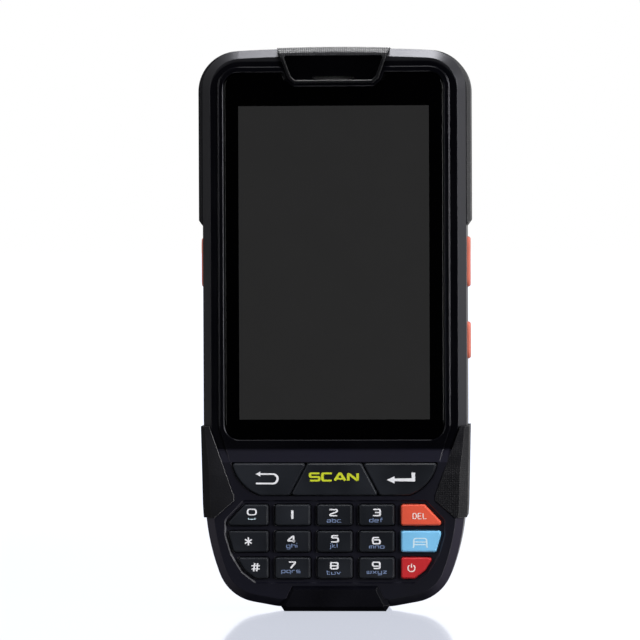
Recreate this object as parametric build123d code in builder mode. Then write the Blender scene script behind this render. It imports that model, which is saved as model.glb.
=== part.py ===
from build123d import *
import os

# Portable barcode data terminal, standing on its foot.
# The frame has +Z up along the length, the screen faces -Y and +X is the user's right.
# The origin lies under the middle of the foot. Every size is in millimetres.

os.makedirs("parts", exist_ok=True)

# ---- housing outline, seen from the front ----
body_width = 71.6            # across the waist
shoulder_z = 151.5           # where the top edge meets the sides, before rounding
top_crown = 1.2              # rise of the arched top edge
taper_z = 52.0               # the sides start to narrow below this height
cheek_z = 20.0
cheek_width = 70.2
heel_z = 3.7
heel_width = 58.2
underside_z = 1.2
underside_width = 31.0
shoulder_radius = 10.5
taper_radius = 80.0
cheek_radius = 60.0
heel_radius = 12.0
underside_radius = 12.0

# ---- depth levels of the housing, from the screen to the back ----
face_y = -10.5               # flat band round the screen
split_y = -4.0               # joint between the front and rear covers
handle_back_y = 9.5          # back of the slim lower part
head_back_y = 12.5           # back of the thicker scanning head
head_low_z = 114.0           # the head starts to swell here
head_high_z = 121.0          # and has its full depth here
wall = 2.8                   # side wall
floor_wall = 2.0             # back wall
front_wall = 2.5             # front wall
front_bevel = 2.2
back_bevel = 3.0

# ---- screen ----
active_width = 51.7
active_height = 85.0
active_centre_z = 94.5
panel_side_border = 2.3
panel_top_border = 2.5
panel_bottom_border = 3.7
panel_thickness = 2.4
panel_clearance = 0.3
glass_width = 59.6
glass_top_z = 146.05
glass_bottom_z = 46.6
glass_radius = 4.0
glass_thickness = 1.1
glass_edge = 0.3
glass_gap = 0.1
gasket_thickness = 0.3
rim_width = 1.6              # raised rim round the glass
cap_rim_width = 0.9          # and where it passes under the top cap
rim_rise = 0.5
rim_edge = 0.2
apron_top_z = 50.4           # below this the rim widens into an apron that runs down to the ramp
apron_low_width = 56.8
glass_sink = 0.4             # the glass lies this far below the rim

# ---- keypad deck ----
deck_rise = 1.1              # the deck stands this far in front of the face
ramp_top_z = 43.9
ramp_low_z = 40.5
deck_wall = 2.2
key_rise = 0.85              # the keys stand this far in front of the deck
key_travel = 0.5
key_gap = 0.25
key_edge = 0.35
key_corner = 0.6
key_width = 9.6
key_height = 5.7
key_pitch_x = 11.4
key_pitch_z = 7.2
key_top_row_z = 26.2
flange_lip = 0.45            # the flange behind the cover is this much wider than the key
flange_thickness = 0.6
flange_play = 0.05
stem_radius = 1.2
stem_play = 0.05             # left between a pressed stem and its dome
recess_depth = 0.5           # shallow floor round the keypad keys
recess_bevel = 0.3
recess_corner = 1.2
recess_side_inset = 5.9      # from the side of the housing to the side of that floor
recess_high_z = 24.8
recess_low_z = 20.6
recess_top_z = 30.1
recess_top_width = 49.8
recess_flank_z = 15.2
recess_flank_width = 56.6
recess_heel_z = 10.4
recess_heel_width = 50.6
recess_end_z = 7.6
recess_end_width = 43.2
key_rim = 1.1                # from the edge of that floor to the outer keys
pocket_margin = 1.6          # ledge left round the pocket of the flanges
strip_top_z = 40.15          # function keys
strip_low_z = 31.5
strip_top_width = 55.6
strip_low_width = 40.6
strip_bulge = 1.5            # bow of the strip's rounded ends
scan_top_width = 15.0
scan_low_width = 24.2
strip_gap = 0.3
mat_thickness = 0.8
mat_inset = 0.3
mat_hole_radius = 2.5
dome_radius = 2.0
dome_taper = 60
dome_height = 0.4
film_thickness = 0.15
key_board_thickness = 1.0

# ---- rubber pads and grips ----
pad_stand = 1.15             # the upper side pads stand this far out of the housing
pad_sink = 0.8
pad_low_z = 104.5
pad_lead_in = 1.6            # height over which their lower ends rise
pad_radius = 11.0
pad_end_x = 26.0             # over the shoulders they end here, flush with the top edge
pad_front_y = -8.2
pad_back_y = 8.0
pad_edge = 0.9
grip_stand = 0.7
grip_sink = 1.0
grip_front_stand = 0.4
grip_front_sink = 0.9
grip_ramp_low_z = 37.0       # the grips slope gently over the ramp, down to here
grip_top_z = 50.2
grip_mid_z = 31.4
grip_mid_height = 1.4
grip_low_z = 25.4
grip_top_inset = 1.7         # how far the grips reach in over the front
grip_mid_inset = 8.4
grip_low_inset = 3.2
grip_back_y = 7.0

# ---- top cap ----
cap_top_width = 30.6
cap_low_width = 24.6
cap_high_z = 152.8
cap_bend_z = 144.45
cap_low_z = 143.05
cap_low_flat = 21.4
cap_front_y = -11.6
cap_back_y = -2.0
cap_stand = 0.25
cap_sink = 1.0
cap_floor_y = -9.6
cap_bevel = 1.4
plate_inset = 0.9
plate_corner = 0.6
plate_high_z = 150.6
plate_thickness = 0.7
plate_sink = 0.25
slot_width = 10.9
slot_height = 0.9
slot_z = 144.65
mesh_thickness = 0.3

# ---- foot and port flap ----
foot_top_width = 23.8
foot_top_z = 7.2
foot_wide_width = 29.6
foot_wide_z = 1.5
foot_flat_width = 27.6
foot_front_y = -12.5
foot_back_y = 8.8
foot_bevel = 1.3
foot_floor_y = -10.6
foot_sink = 1.2
flap_width = 13.0
flap_depth = 7.6
flap_thickness = 1.8
flap_lift = 0.3
flap_gap = 0.2

# ---- side buttons ----
button_width = 5.0
button_stand = 0.9
button_travel = 0.6
button_gap = 0.2
button_edge = 0.4
button_flange_lip = 0.8
button_flange_thickness = 0.8
scan_button_length = 13.7
scan_button_z = 94.65
side_button_length = 10.1
side_button_z = 73.25
switch_size = 3.4
switch_tip_length = 0.9

# ---- battery, its bay and its door ----
battery_width = 46.0
battery_height = 66.0
battery_thickness = 7.4
battery_centre_z = 54.0
battery_gap = 0.3
battery_edge = 1.2
contacts_width = 12.0
contacts_back_y = 1.5
bay_wall = 1.6
bay_floor = 0.8
bay_front_y = -1.6
door_width = 53.0
door_height = 80.0
door_thickness = 1.6
door_radius = 4.0
door_gap = 0.2
door_rib_count = 7
door_rib_pitch = 4.6
door_rib_width = 1.8
door_rib_depth = 0.4
door_rib_inset = 9.0
door_screw_head_radius = 2.6
door_screw_head_height = 1.0
door_screw_radius = 1.0
door_screw_length = 2.8
door_screw_play = 0.05
door_screw_clearance = 0.35
door_screw_inset = 3.8
door_boss_wall = 0.8
door_floor_gap = 0.05

# ---- fasteners ----
screw_from_wall = 2.6        # from the inside of the side wall
screw_heights = (44.0, 110.0, 138.0)
screw_radius = 1.0
screw_head_radius = 1.6
screw_head_height = 1.4
screw_sink = 2.2             # the head's seat lies this far below the back
screw_play = 0.05
screw_depth_in_front = 3.0
boss_radius = 1.9
screw_slot = 0.5
fit_gap = 0.05               # round the parts that are pressed into the covers
seal_inset = 1.3
seal_width = 0.9
seal_depth = 0.7

# ---- inner parts ----
board_width = 55.0
board_gap = 0.2
board_low_z = 4.8
board_high_z = 146.0
board_thickness = 1.0
can_height = 1.5
can_width = 22.0
can_length = 31.0
engine_width = 22.0
engine_height = 12.5
engine_depth = 9.6
engine_drop = 0.9            # below the roof of the head
engine_port_depth = 1.0
engine_lens_radius = 2.4
engine_lamp_size = 5.0
engine_port_x = 5.5
window_width = 24.0
window_depth = 9.0
window_thickness = 1.2
window_ledge = 1.0
camera_x = -19.0
camera_z = 132.5
camera_size = 8.5
camera_gap = 0.2
camera_barrel_radius = 3.2
camera_module_depth = 5.0
bezel_radius = 5.2
bezel_depth = 1.6
bezel_lip = 0.8
lens_radius = 3.4
lens_thickness = 0.8
lens_sink = 0.2
flash_z = 142.2
flash_radius = 1.7
speaker_x = 17.5
speaker_z = 131.0
speaker_width = 15.0
speaker_height = 11.0
speaker_depth = 3.6
speaker_corner = 1.8
speaker_slots = 5
speaker_slot_pitch = 2.0
speaker_slot_width = 0.9
speaker_slot_length = 11.0
receiver_width = 13.0
receiver_height = 5.0
receiver_depth = 2.4
receiver_corner = 0.6
motor_radius = 5.0
motor_thickness = 3.0
motor_z = 124.5
usb_width = 9.0
usb_height = 3.2
usb_length = 7.4
usb_shell = 0.35
usb_tongue = 0.7
usb_tongue_width = 6.9
usb_gap = 0.2
port_depth = 10.5            # how far the port's opening is cut upward

# ---- levels that follow from the sizes above ----
half_width = body_width / 2
deck_y = face_y - deck_rise
rim_y = face_y - rim_rise
glass_y = rim_y + glass_sink
glass_back_y = glass_y + glass_thickness
ledge_y = glass_back_y + gasket_thickness
inner_face_y = face_y + front_wall
key_face_y = deck_y - key_rise
deck_back_y = deck_y + deck_wall
flange_front_y = deck_back_y + flange_play
flange_back_y = flange_front_y + flange_thickness
mat_front_y = inner_face_y
mat_back_y = mat_front_y + mat_thickness
film_back_y = mat_back_y + film_thickness
stem_tip_y = mat_back_y - dome_height - stem_play - key_travel
stem_length = stem_tip_y - flange_back_y
bay_back_y = bay_front_y + bay_floor
door_front_y = handle_back_y - door_thickness
door_low_z = battery_centre_z - door_height / 2
door_high_z = battery_centre_z + door_height / 2
door_axis_y = handle_back_y - door_thickness / 2
door_axis_z = door_low_z + door_thickness / 2
board_back_y = bay_front_y
board_front_y = board_back_y - board_thickness
top_z = shoulder_z + top_crown
usb_low_z = underside_z + foot_sink
button_y = board_back_y + switch_size / 2
port_y = board_back_y + usb_height / 2
inner_wall_x = half_width - wall
screw_x = inner_wall_x - screw_from_wall
flap_axis_y = port_y + flap_depth / 2 - flap_thickness / 2
flap_axis_z = flap_lift + flap_thickness / 2
reach = 60.0                 # longer than any cut needs to be


# ---- planes, outlines and blocks that several pieces share ----
def depth_plane(y):
    """The plane at depth y, drawn as seen from the front: x is X, y is Z."""
    return Plane.XZ.offset(-y)


def outline_sides(points):
    """A closed outline, symmetrical about the middle, from its right-hand points."""
    return points + [(-x, z) for x, z in reversed(points)]


def housing_outline(grow=0.0):
    """The outline of the housing, or one that lies outside (+) or inside (-) of it."""
    corners = [(underside_width / 2, underside_z), (heel_width / 2, heel_z), (cheek_width / 2, cheek_z),
               (half_width, taper_z), (half_width, shoulder_z)]
    radii = (underside_radius, heel_radius, cheek_radius, taper_radius, shoulder_radius)
    with BuildSketch() as outline:
        with BuildLine():
            right = Polyline(*corners)
            left = Polyline(*[(-x, z) for x, z in corners])
            Line(left @ 0, right @ 0)
            ThreePointArc(left @ 1, (0, top_z), right @ 1)
        make_face()
        if grow:
            offset(amount=grow, kind=Kind.INTERSECTION)
        for level in reversed(range(len(radii))):
            fillet(outline.vertices().sort_by(Axis.Y)[2 * level:2 * level + 2], radii[level] + grow)
    return outline.sketch


def block(outline, front, back, front_edge=0.0, back_edge=0.0):
    """An outline extruded from the depth front to the depth back, with bevelled ends."""
    with BuildPart() as solid:
        with BuildSketch(depth_plane(back)):
            add(outline)
        extrude(amount=back - front)
        if front_edge:
            chamfer(solid.faces().sort_by(Axis.Y)[0].edges(), front_edge)
        if back_edge:
            chamfer(solid.faces().sort_by(Axis.Y)[-1].edges(), back_edge)
    return solid.part


def side_profile(*points):
    """A solid as wide as the housing with the given (Y, Z) profile."""
    with BuildPart() as solid:
        with BuildSketch(Plane.YZ):
            with BuildLine():
                Polyline(*points, close=True)
            make_face()
        extrude(amount=reach, both=True)
    return solid.part


def polygon_sketch(points, radius=0.0):
    """A closed outline from its corners, all rounded by the same radius."""
    with BuildSketch() as outline:
        with BuildLine():
            Polyline(*points, close=True)
        make_face()
        if radius:
            fillet(outline.vertices(), radius)
    return outline.sketch


# ---- outlines of the screen, the cap and the keypad ----
cap_corners = [(cap_top_width / 2, cap_high_z + cap_stand + top_crown), (cap_top_width / 2, cap_high_z),
               (cap_low_width / 2, cap_bend_z), (cap_low_flat / 2, cap_low_z)]
cap_outline = polygon_sketch(outline_sides(cap_corners))

with BuildSketch() as glass_sketch:
    with Locations((0, (glass_top_z + glass_bottom_z) / 2)):
        Rectangle(glass_width, glass_top_z - glass_bottom_z)
    fillet(glass_sketch.vertices(), glass_radius)
    add(offset(cap_outline, cap_rim_width, mode=Mode.PRIVATE), mode=Mode.SUBTRACT)
glass_outline = glass_sketch.sketch

recess_side_x = half_width - recess_side_inset
keypad_corners = [(recess_top_width / 2, recess_top_z), (recess_side_x, recess_high_z),
                  (recess_side_x, recess_low_z), (recess_flank_width / 2, recess_flank_z),
                  (recess_heel_width / 2, recess_heel_z), (recess_end_width / 2, recess_end_z)]
keypad_outline = polygon_sketch(outline_sides(keypad_corners), recess_corner)


def strip_outline(grow=0.0):
    """The row of function keys as one outline, with bowed ends."""
    top_x, low_x = strip_top_width / 2, strip_low_width / 2
    with BuildSketch() as strip:
        with BuildLine():
            Line((-top_x, strip_top_z), (top_x, strip_top_z))
            SagittaArc((top_x, strip_top_z), (low_x, strip_low_z), strip_bulge)
            Line((low_x, strip_low_z), (-low_x, strip_low_z))
            SagittaArc((-low_x, strip_low_z), (-top_x, strip_top_z), strip_bulge)
        make_face()
        if grow:
            offset(amount=grow)
    return strip.sketch


def strip_divider(z, shift):
    """Where the slanted joint between SCAN and its neighbour crosses the height z."""
    slope = (scan_low_width - scan_top_width) / 2 / (strip_top_z - strip_low_z)
    return scan_top_width / 2 + slope * (strip_top_z - z) + shift


def strip_zone(place):
    """The zone of the left (-1), middle (0) or right (1) function key."""
    high, low = strip_top_z + key_pitch_z / 2, strip_low_z - key_pitch_z / 2
    shift = strip_gap / 2 if place else -strip_gap / 2
    high_x, low_x = strip_divider(high, shift), strip_divider(low, shift)
    if place == 0:
        return polygon_sketch([(high_x, high), (low_x, low), (-low_x, low), (-high_x, high)])
    return polygon_sketch([(place * high_x, high), (place * low_x, low), (place * reach, low),
                           (place * reach, high)])


def common_outline(first, second, corner=0.0):
    """What two outlines share, with its outer corners rounded."""
    with BuildSketch() as shared:
        add(first)
        add(second, mode=Mode.INTERSECT)
        if corner:
            offset(amount=-corner)
            offset(amount=corner)
    return shared.sketch


def keypad_cell(row, column, grow=0.0):
    """The outline of a keypad key: a rounded cell that the rim of the keypad cuts off."""
    outer = key_width / 2 if abs(column) == 2 else 0.0
    side = 1 if column > 0 else -1
    with BuildSketch() as cell:
        with Locations((column * key_pitch_x + side * outer / 2, key_top_row_z - row * key_pitch_z)):
            Rectangle(key_width + outer + 2 * grow, key_height + 2 * grow)
    rim = offset(keypad_outline, grow - key_rim, mode=Mode.PRIVATE)
    return common_outline(cell.sketch, rim, key_corner + grow)


def front_block(grow, forward, back, ramp_high, ramp_low):
    """The front of the housing with a ramp up to its raised deck, moved forward by a distance."""
    face, deck = face_y - forward, deck_y - forward
    with BuildPart() as solid:
        add(block(housing_outline(grow), deck, back, front_edge=front_bevel))
        add(side_profile((back, -reach), (back, ramp_high), (face, ramp_high), (deck, ramp_low),
                         (deck, -reach)), mode=Mode.INTERSECT)
        add(block(housing_outline(grow), face, back, front_edge=front_bevel))
    return solid.part


def rear_block(grow, inset, front):
    """The back of the housing with the swollen head, moved inward by a distance."""
    handle, head = handle_back_y - inset, head_back_y - inset
    with BuildPart() as solid:
        add(block(housing_outline(grow), front, head, back_edge=back_bevel))
        add(side_profile((front, reach * 3), (front, head_low_z + inset), (handle, head_low_z + inset),
                         (head, head_high_z + inset), (head, reach * 3)), mode=Mode.INTERSECT)
        add(block(housing_outline(grow), front, handle, back_edge=back_bevel))
    return solid.part


# ---- the keys: keypad cells and function keys, each with its outline and its flange ----
keypad_rows = (("key_0", "key_1", "key_2", "key_3", "key_delete"),
               ("key_star", "key_4", "key_5", "key_6", "key_menu"),
               ("key_hash", "key_7", "key_8", "key_9", "key_power"))
key_shapes = {}
key_holes = []
for row, names in enumerate(keypad_rows):
    for column, key_name in enumerate(names):
        key_shapes[key_name] = (keypad_cell(row, column - 2), keypad_cell(row, column - 2, flange_lip))
        key_holes.append(keypad_cell(row, column - 2, key_gap))
key_holes.append(strip_outline(key_gap))
for key_name, place in (("key_back", -1), ("key_scan", 0), ("key_enter", 1)):
    key_shapes[key_name] = (common_outline(strip_outline(), strip_zone(place), key_corner),
                            common_outline(strip_outline(flange_lip), strip_zone(place)))
key_sites = {key_name: shapes[0].face().center() for key_name, shapes in key_shapes.items()}

for key_name, (cap_shape, flange_shape) in key_shapes.items():
    with BuildPart() as key:
        with BuildSketch(depth_plane(flange_front_y)):
            add(cap_shape)
        extrude(amount=flange_front_y - key_face_y)
        chamfer(key.faces().sort_by(Axis.Y)[0].edges(), key_edge)
        with BuildSketch(depth_plane(flange_back_y)):
            add(flange_shape)
        extrude(amount=flange_thickness)
        with BuildSketch(depth_plane(stem_tip_y)):
            with Locations(key_sites[key_name]):
                Circle(stem_radius)
        extrude(amount=stem_length)
    key.part.label = key_name
    export_step(key.part, f"parts/{key_name}.step")

# ---- keypad mat, dome sheet and key board, stacked behind the deck ----
mat_top_z = screw_heights[0] - boss_radius - mat_inset
mat_outline = common_outline(housing_outline(-wall - mat_inset), polygon_sketch(
    [(-reach, 0), (reach, 0), (reach, mat_top_z), (-reach, mat_top_z)]))

with BuildPart() as keypad_mat:
    with BuildSketch(depth_plane(mat_back_y)):
        add(mat_outline)
        with Locations(*key_sites.values()):
            Circle(mat_hole_radius, mode=Mode.SUBTRACT)
    extrude(amount=mat_thickness)
keypad_mat.part.label = "keypad_mat"
export_step(keypad_mat.part, "parts/keypad_mat.step")

with BuildPart() as dome_sheet:
    with BuildSketch(depth_plane(film_back_y)):
        add(mat_outline)
    extrude(amount=film_thickness)
    with BuildSketch(depth_plane(mat_back_y)):
        with Locations(*key_sites.values()):
            Circle(dome_radius)
    extrude(amount=dome_height, taper=dome_taper)
dome_sheet.part.label = "dome_sheet"
export_step(dome_sheet.part, "parts/dome_sheet.step")

with BuildPart() as keypad_board:
    with BuildSketch(depth_plane(film_back_y + key_board_thickness)):
        add(mat_outline)
    extrude(amount=key_board_thickness)
keypad_board.part.label = "keypad_board"
export_step(keypad_board.part, "parts/keypad_board.step")

# ---- rubber side pads: a band round each shoulder, seated in a shallow pocket ----
pad_x = half_width + pad_stand
pad_shoulder_z = top_z - top_crown * (pad_x / half_width) ** 2
with BuildSketch() as pad_sketch:
    with BuildLine():
        pad_sides = Polyline((-pad_x, pad_shoulder_z), (-pad_x, pad_low_z), (pad_x, pad_low_z),
                             (pad_x, pad_shoulder_z))
        ThreePointArc(pad_sides @ 0, (0, top_z), pad_sides @ 1)
    make_face()
    fillet(pad_sketch.vertices().group_by(Axis.Y)[-1], pad_radius)

pad_corners = [(half_width - wall, pad_low_z), (half_width, pad_low_z), (pad_x, pad_low_z + pad_lead_in),
               (pad_x, top_z), (pad_end_x, top_z), (pad_end_x, shoulder_z - shoulder_radius),
               (half_width - wall, shoulder_z - shoulder_radius)]
covers_of_shell = []
for side, side_name in ((-1, "left"), (1, "right")):
    with BuildPart() as bumper_pad:
        add(block(pad_sketch.sketch, pad_front_y, pad_back_y, front_edge=pad_edge, back_edge=pad_edge))
        add(block(housing_outline(-pad_sink), pad_front_y, pad_back_y), mode=Mode.SUBTRACT)
        with BuildSketch(depth_plane(pad_back_y)):
            add(polygon_sketch([(side * x, z) for x, z in pad_corners]))
        extrude(amount=pad_back_y - pad_front_y, mode=Mode.INTERSECT)
    bumper_pad.part.label = f"{side_name}_bumper_pad"
    export_step(bumper_pad.part, f"parts/{side_name}_bumper_pad.step")
    covers_of_shell.append(bumper_pad.part)

# ---- rubber grips: a cheek each side that wraps from the wall onto the deck ----
grip_mid_x = half_width - grip_mid_inset
grip_corners = [(half_width + wall, grip_top_z), (half_width - grip_top_inset, grip_top_z),
                (grip_mid_x, grip_mid_z), (grip_mid_x, grip_mid_z - grip_mid_height),
                (half_width - grip_low_inset, grip_low_z), (half_width + wall, grip_low_z)]
for side, side_name in ((-1, "left"), (1, "right")):
    with BuildPart() as grip:
        add(front_block(grip_stand, grip_front_stand, grip_back_y, grip_top_z, grip_ramp_low_z))
        add(front_block(-grip_sink, -grip_front_sink, grip_back_y, ramp_top_z, ramp_low_z),
            mode=Mode.SUBTRACT)
        with BuildSketch(depth_plane(grip_back_y)):
            add(polygon_sketch([(side * x, z) for x, z in grip_corners]))
        extrude(amount=reach, mode=Mode.INTERSECT)
    grip.part.label = f"{side_name}_grip"
    export_step(grip.part, f"parts/{side_name}_grip.step")
    covers_of_shell.append(grip.part)

# ---- top cap, folded over the top edge, with its bare inset plate ----
plate_outline = common_outline(offset(cap_outline, -plate_inset, mode=Mode.PRIVATE), polygon_sketch(
    [(-reach, cap_low_z), (reach, cap_low_z), (reach, plate_high_z), (-reach, plate_high_z)]), plate_corner)

with BuildPart() as top_cap:
    add(block(housing_outline(cap_stand), cap_front_y, cap_back_y, front_edge=cap_bevel))
    add(block(housing_outline(-cap_sink), cap_floor_y, cap_back_y), mode=Mode.SUBTRACT)
    with BuildSketch(depth_plane(cap_back_y)):
        add(cap_outline)
    extrude(amount=reach, mode=Mode.INTERSECT)
    with BuildSketch(depth_plane(cap_front_y)):
        add(plate_outline)
    extrude(amount=-(plate_sink + plate_thickness), mode=Mode.SUBTRACT)
    with BuildSketch(depth_plane(cap_floor_y)):
        with Locations((0, slot_z)):
            SlotOverall(slot_width, slot_height)
    extrude(amount=reach, mode=Mode.SUBTRACT)
top_cap.part.label = "top_cap"
export_step(top_cap.part, "parts/top_cap.step")
covers_of_shell.append(top_cap.part)

with BuildPart() as top_cap_plate:
    with BuildSketch(depth_plane(cap_front_y + plate_sink + plate_thickness)):
        add(plate_outline)
        with Locations((0, slot_z)):
            SlotOverall(slot_width, slot_height, mode=Mode.SUBTRACT)
    extrude(amount=plate_thickness)
top_cap_plate.part.label = "top_cap_plate"
export_step(top_cap_plate.part, "parts/top_cap_plate.step")

with BuildPart() as earpiece_mesh:
    with BuildSketch(depth_plane(inner_face_y)):
        with Locations((0, slot_z)):
            SlotOverall(slot_width - 2 * fit_gap, slot_height - 2 * fit_gap)
    extrude(amount=mesh_thickness)
earpiece_mesh.part.label = "earpiece_mesh"
export_step(earpiece_mesh.part, "parts/earpiece_mesh.step")

with BuildPart() as receiver:
    with BuildSketch(depth_plane(inner_face_y + receiver_depth)):
        with Locations((0, slot_z)):
            RectangleRounded(receiver_width, receiver_height, receiver_corner)
    extrude(amount=receiver_depth)
receiver.part.label = "receiver"
export_step(receiver.part, "parts/receiver.step")

# ---- foot: a rubber block under the toe with the port flap in its sole ----
foot_corners = [(foot_top_width / 2, foot_top_z), (foot_wide_width / 2, foot_wide_z),
                (foot_flat_width / 2, 0)]

with BuildPart() as bottom_bumper:
    add(block(polygon_sketch(outline_sides(foot_corners)), foot_front_y, foot_back_y, front_edge=foot_bevel,
              back_edge=foot_bevel))
    add(block(housing_outline(-foot_sink), foot_floor_y, handle_back_y, back_edge=back_bevel),
        mode=Mode.SUBTRACT)
    with BuildSketch(Plane.XY):
        with Locations((0, port_y)):
            Rectangle(flap_width + 2 * flap_gap, flap_depth + 2 * flap_gap)
    extrude(amount=foot_top_z, mode=Mode.SUBTRACT)
bottom_bumper.part.label = "bottom_bumper"
export_step(bottom_bumper.part, "parts/bottom_bumper.step")
covers_of_shell.append(bottom_bumper.part)

with BuildPart() as port_cover:
    with BuildSketch(Plane.YZ.offset(-flap_width / 2)):
        with Locations((port_y - flap_thickness / 4, flap_axis_z)):
            Rectangle(flap_depth - flap_thickness / 2, flap_thickness)
        with Locations((flap_axis_y, flap_axis_z)):
            Circle(flap_thickness / 2)
    extrude(amount=flap_width)
port_cover.part.label = "port_cover"
export_step(port_cover.part, "parts/port_cover.step")

# ---- touch glass, its gasket and the display bonded behind it ----
panel_width = active_width + 2 * panel_side_border
panel_low_z = active_centre_z - active_height / 2 - panel_bottom_border
panel_high_z = active_centre_z + active_height / 2 + panel_top_border
panel_height = panel_high_z - panel_low_z
panel_centre_z = (panel_high_z + panel_low_z) / 2

with BuildPart() as touch_glass:
    add(block(glass_outline, glass_y, glass_back_y, front_edge=glass_edge))
touch_glass.part.label = "touch_glass"
export_step(touch_glass.part, "parts/touch_glass.step")

with BuildPart() as glass_gasket:
    with BuildSketch(depth_plane(ledge_y)):
        add(glass_outline)
        with Locations((0, panel_centre_z)):
            Rectangle(panel_width + 2 * panel_clearance, panel_height + 2 * panel_clearance,
                      mode=Mode.SUBTRACT)
    extrude(amount=gasket_thickness)
glass_gasket.part.label = "glass_gasket"
export_step(glass_gasket.part, "parts/glass_gasket.step")

with BuildPart() as display_panel:
    with BuildSketch(depth_plane(glass_back_y + panel_thickness)):
        with Locations((0, panel_centre_z)):
            Rectangle(panel_width, panel_height)
    extrude(amount=panel_thickness)
display_panel.part.label = "display_panel"
export_step(display_panel.part, "parts/display_panel.step")

# ---- where the housing screws run, and their bosses ----
screw_places = [(side * screw_x, z) for side in (-1, 1) for z in screw_heights]
inner_outline = housing_outline(-wall)


def screw_boss(x, z):
    """The outline of a screw boss with the rib that ties it to the side wall."""
    rib_x = (screw_x + screw_from_wall / 2) * (1 if x > 0 else -1)
    with BuildSketch() as boss:
        with Locations((x, z)):
            Circle(boss_radius)
        with Locations((rib_x, z)):
            Rectangle(screw_from_wall, boss_radius)
        add(inner_outline, mode=Mode.INTERSECT)
    return boss.sketch


# ---- front cover: face, ramp and deck in one shell, with a rim round the glass ----
with BuildPart() as keypad_floor:
    with BuildSketch(depth_plane(deck_y + recess_depth)):
        add(keypad_outline)
    extrude(amount=recess_depth)
    chamfer(keypad_floor.faces().sort_by(Axis.Y)[-1].edges(), recess_bevel)

rim_side_x = glass_width / 2 + rim_width
with BuildPart() as apron:
    with BuildSketch(depth_plane(face_y)):
        add(polygon_sketch([(rim_side_x, apron_top_z), (apron_low_width / 2, ramp_low_z),
                            (-apron_low_width / 2, ramp_low_z), (-rim_side_x, apron_top_z)]))
        add(offset(glass_outline, glass_gap + rim_edge, mode=Mode.PRIVATE), mode=Mode.SUBTRACT)
    extrude(amount=deck_rise)
    add(side_profile((face_y, apron_top_z), (rim_y, apron_top_z), (rim_y, ramp_top_z), (deck_y, ramp_low_z),
                     (face_y, ramp_low_z)), mode=Mode.INTERSECT)

with BuildPart() as front_cover:
    add(front_block(0, 0, split_y, ramp_top_z, ramp_low_z))
    with BuildSketch(depth_plane(face_y)):
        add(offset(glass_outline, rim_width, mode=Mode.PRIVATE))
    extrude(amount=rim_rise)
    with BuildSketch(depth_plane(rim_y)):
        add(offset(glass_outline, glass_gap, mode=Mode.PRIVATE))
    extrude(amount=rim_y - ledge_y, mode=Mode.SUBTRACT)
    chamfer(front_cover.faces().filter_by(Plane.XZ).group_by(Axis.Y)[1].edges(), rim_edge)
    add(apron.part)
    with BuildSketch(depth_plane(split_y)):
        add(inner_outline)
    extrude(amount=split_y - inner_face_y, mode=Mode.SUBTRACT)
    with BuildSketch(depth_plane(split_y)):
        with Locations((0, panel_centre_z)):
            Rectangle(panel_width + 2 * panel_clearance, panel_height + 2 * panel_clearance)
    extrude(amount=split_y - ledge_y, mode=Mode.SUBTRACT)
    # the deck: a shallow floor round the keypad, a pocket for the flanges and the key holes
    add(keypad_floor.part, mode=Mode.SUBTRACT)
    with BuildSketch(depth_plane(inner_face_y)):
        add(common_outline(housing_outline(-wall - pocket_margin), polygon_sketch(
            [(-reach, 0), (reach, 0), (reach, strip_top_z + key_rim), (-reach, strip_top_z + key_rim)])))
    extrude(amount=inner_face_y - deck_back_y, mode=Mode.SUBTRACT)
    with BuildSketch(depth_plane(deck_back_y)):
        for hole_outline in key_holes:
            add(hole_outline)
    extrude(amount=deck_back_y - deck_y, mode=Mode.SUBTRACT)
    # screw bosses, tied to the side wall
    with BuildSketch(depth_plane(split_y)):
        for x, z in screw_places:
            add(screw_boss(x, z))
    extrude(amount=split_y - inner_face_y)
    with BuildSketch(depth_plane(split_y)):
        with Locations(*screw_places):
            Circle(screw_radius + screw_play)
    extrude(amount=screw_depth_in_front, mode=Mode.SUBTRACT)
    # earpiece slot
    with BuildSketch(depth_plane(inner_face_y)):
        with Locations((0, slot_z)):
            SlotOverall(slot_width, slot_height)
    extrude(amount=reach, mode=Mode.SUBTRACT)
    for cover in covers_of_shell:
        add(cover, mode=Mode.SUBTRACT)
front_cover.part.label = "front_cover"
export_step(front_cover.part, "parts/front_cover.step")

# ---- side buttons, each with a flange inside the wall and a switch behind it ----
side_buttons = (("left_scan_button", -1, scan_button_z, scan_button_length),
                ("right_scan_button", 1, scan_button_z, scan_button_length),
                ("right_side_button", 1, side_button_z, side_button_length))
button_flange_x = inner_wall_x - flange_play
switch_tip_x = button_flange_x - button_flange_thickness - button_travel - flange_play
switch_face_x = switch_tip_x - switch_tip_length

for button_name, side, button_z, button_length in side_buttons:
    with BuildPart() as button:
        with BuildSketch(Plane.YZ.offset(side * button_flange_x)):
            with Locations((button_y, button_z)):
                RectangleRounded(button_width, button_length, button_width / 2 - button_edge)
        extrude(amount=side * (half_width + button_stand - button_flange_x))
        chamfer(button.faces().sort_by(Axis.X)[-1 if side > 0 else 0].edges(), button_edge)
        with BuildSketch(Plane.YZ.offset(side * button_flange_x)):
            with Locations((button_y, button_z)):
                Rectangle(button_width + 2 * button_flange_lip, button_length + 2 * button_flange_lip)
        extrude(amount=-side * button_flange_thickness)
    button.part.label = button_name
    export_step(button.part, f"parts/{button_name}.step")

with BuildPart() as side_switches:
    for button_name, side, button_z, button_length in side_buttons:
        with BuildSketch(Plane.YZ.offset(side * (board_width / 2 - switch_size / 2))):
            with Locations((button_y, button_z)):
                Rectangle(switch_size, switch_size)
        extrude(amount=side * (switch_face_x - board_width / 2 + switch_size / 2))
        with BuildSketch(Plane.YZ.offset(side * switch_face_x)):
            with Locations((button_y, button_z)):
                Circle(stem_radius)
        extrude(amount=side * (switch_tip_x - switch_face_x))
side_switches.part.label = "side_switches"
export_step(side_switches.part, "parts/side_switches.step")

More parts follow.
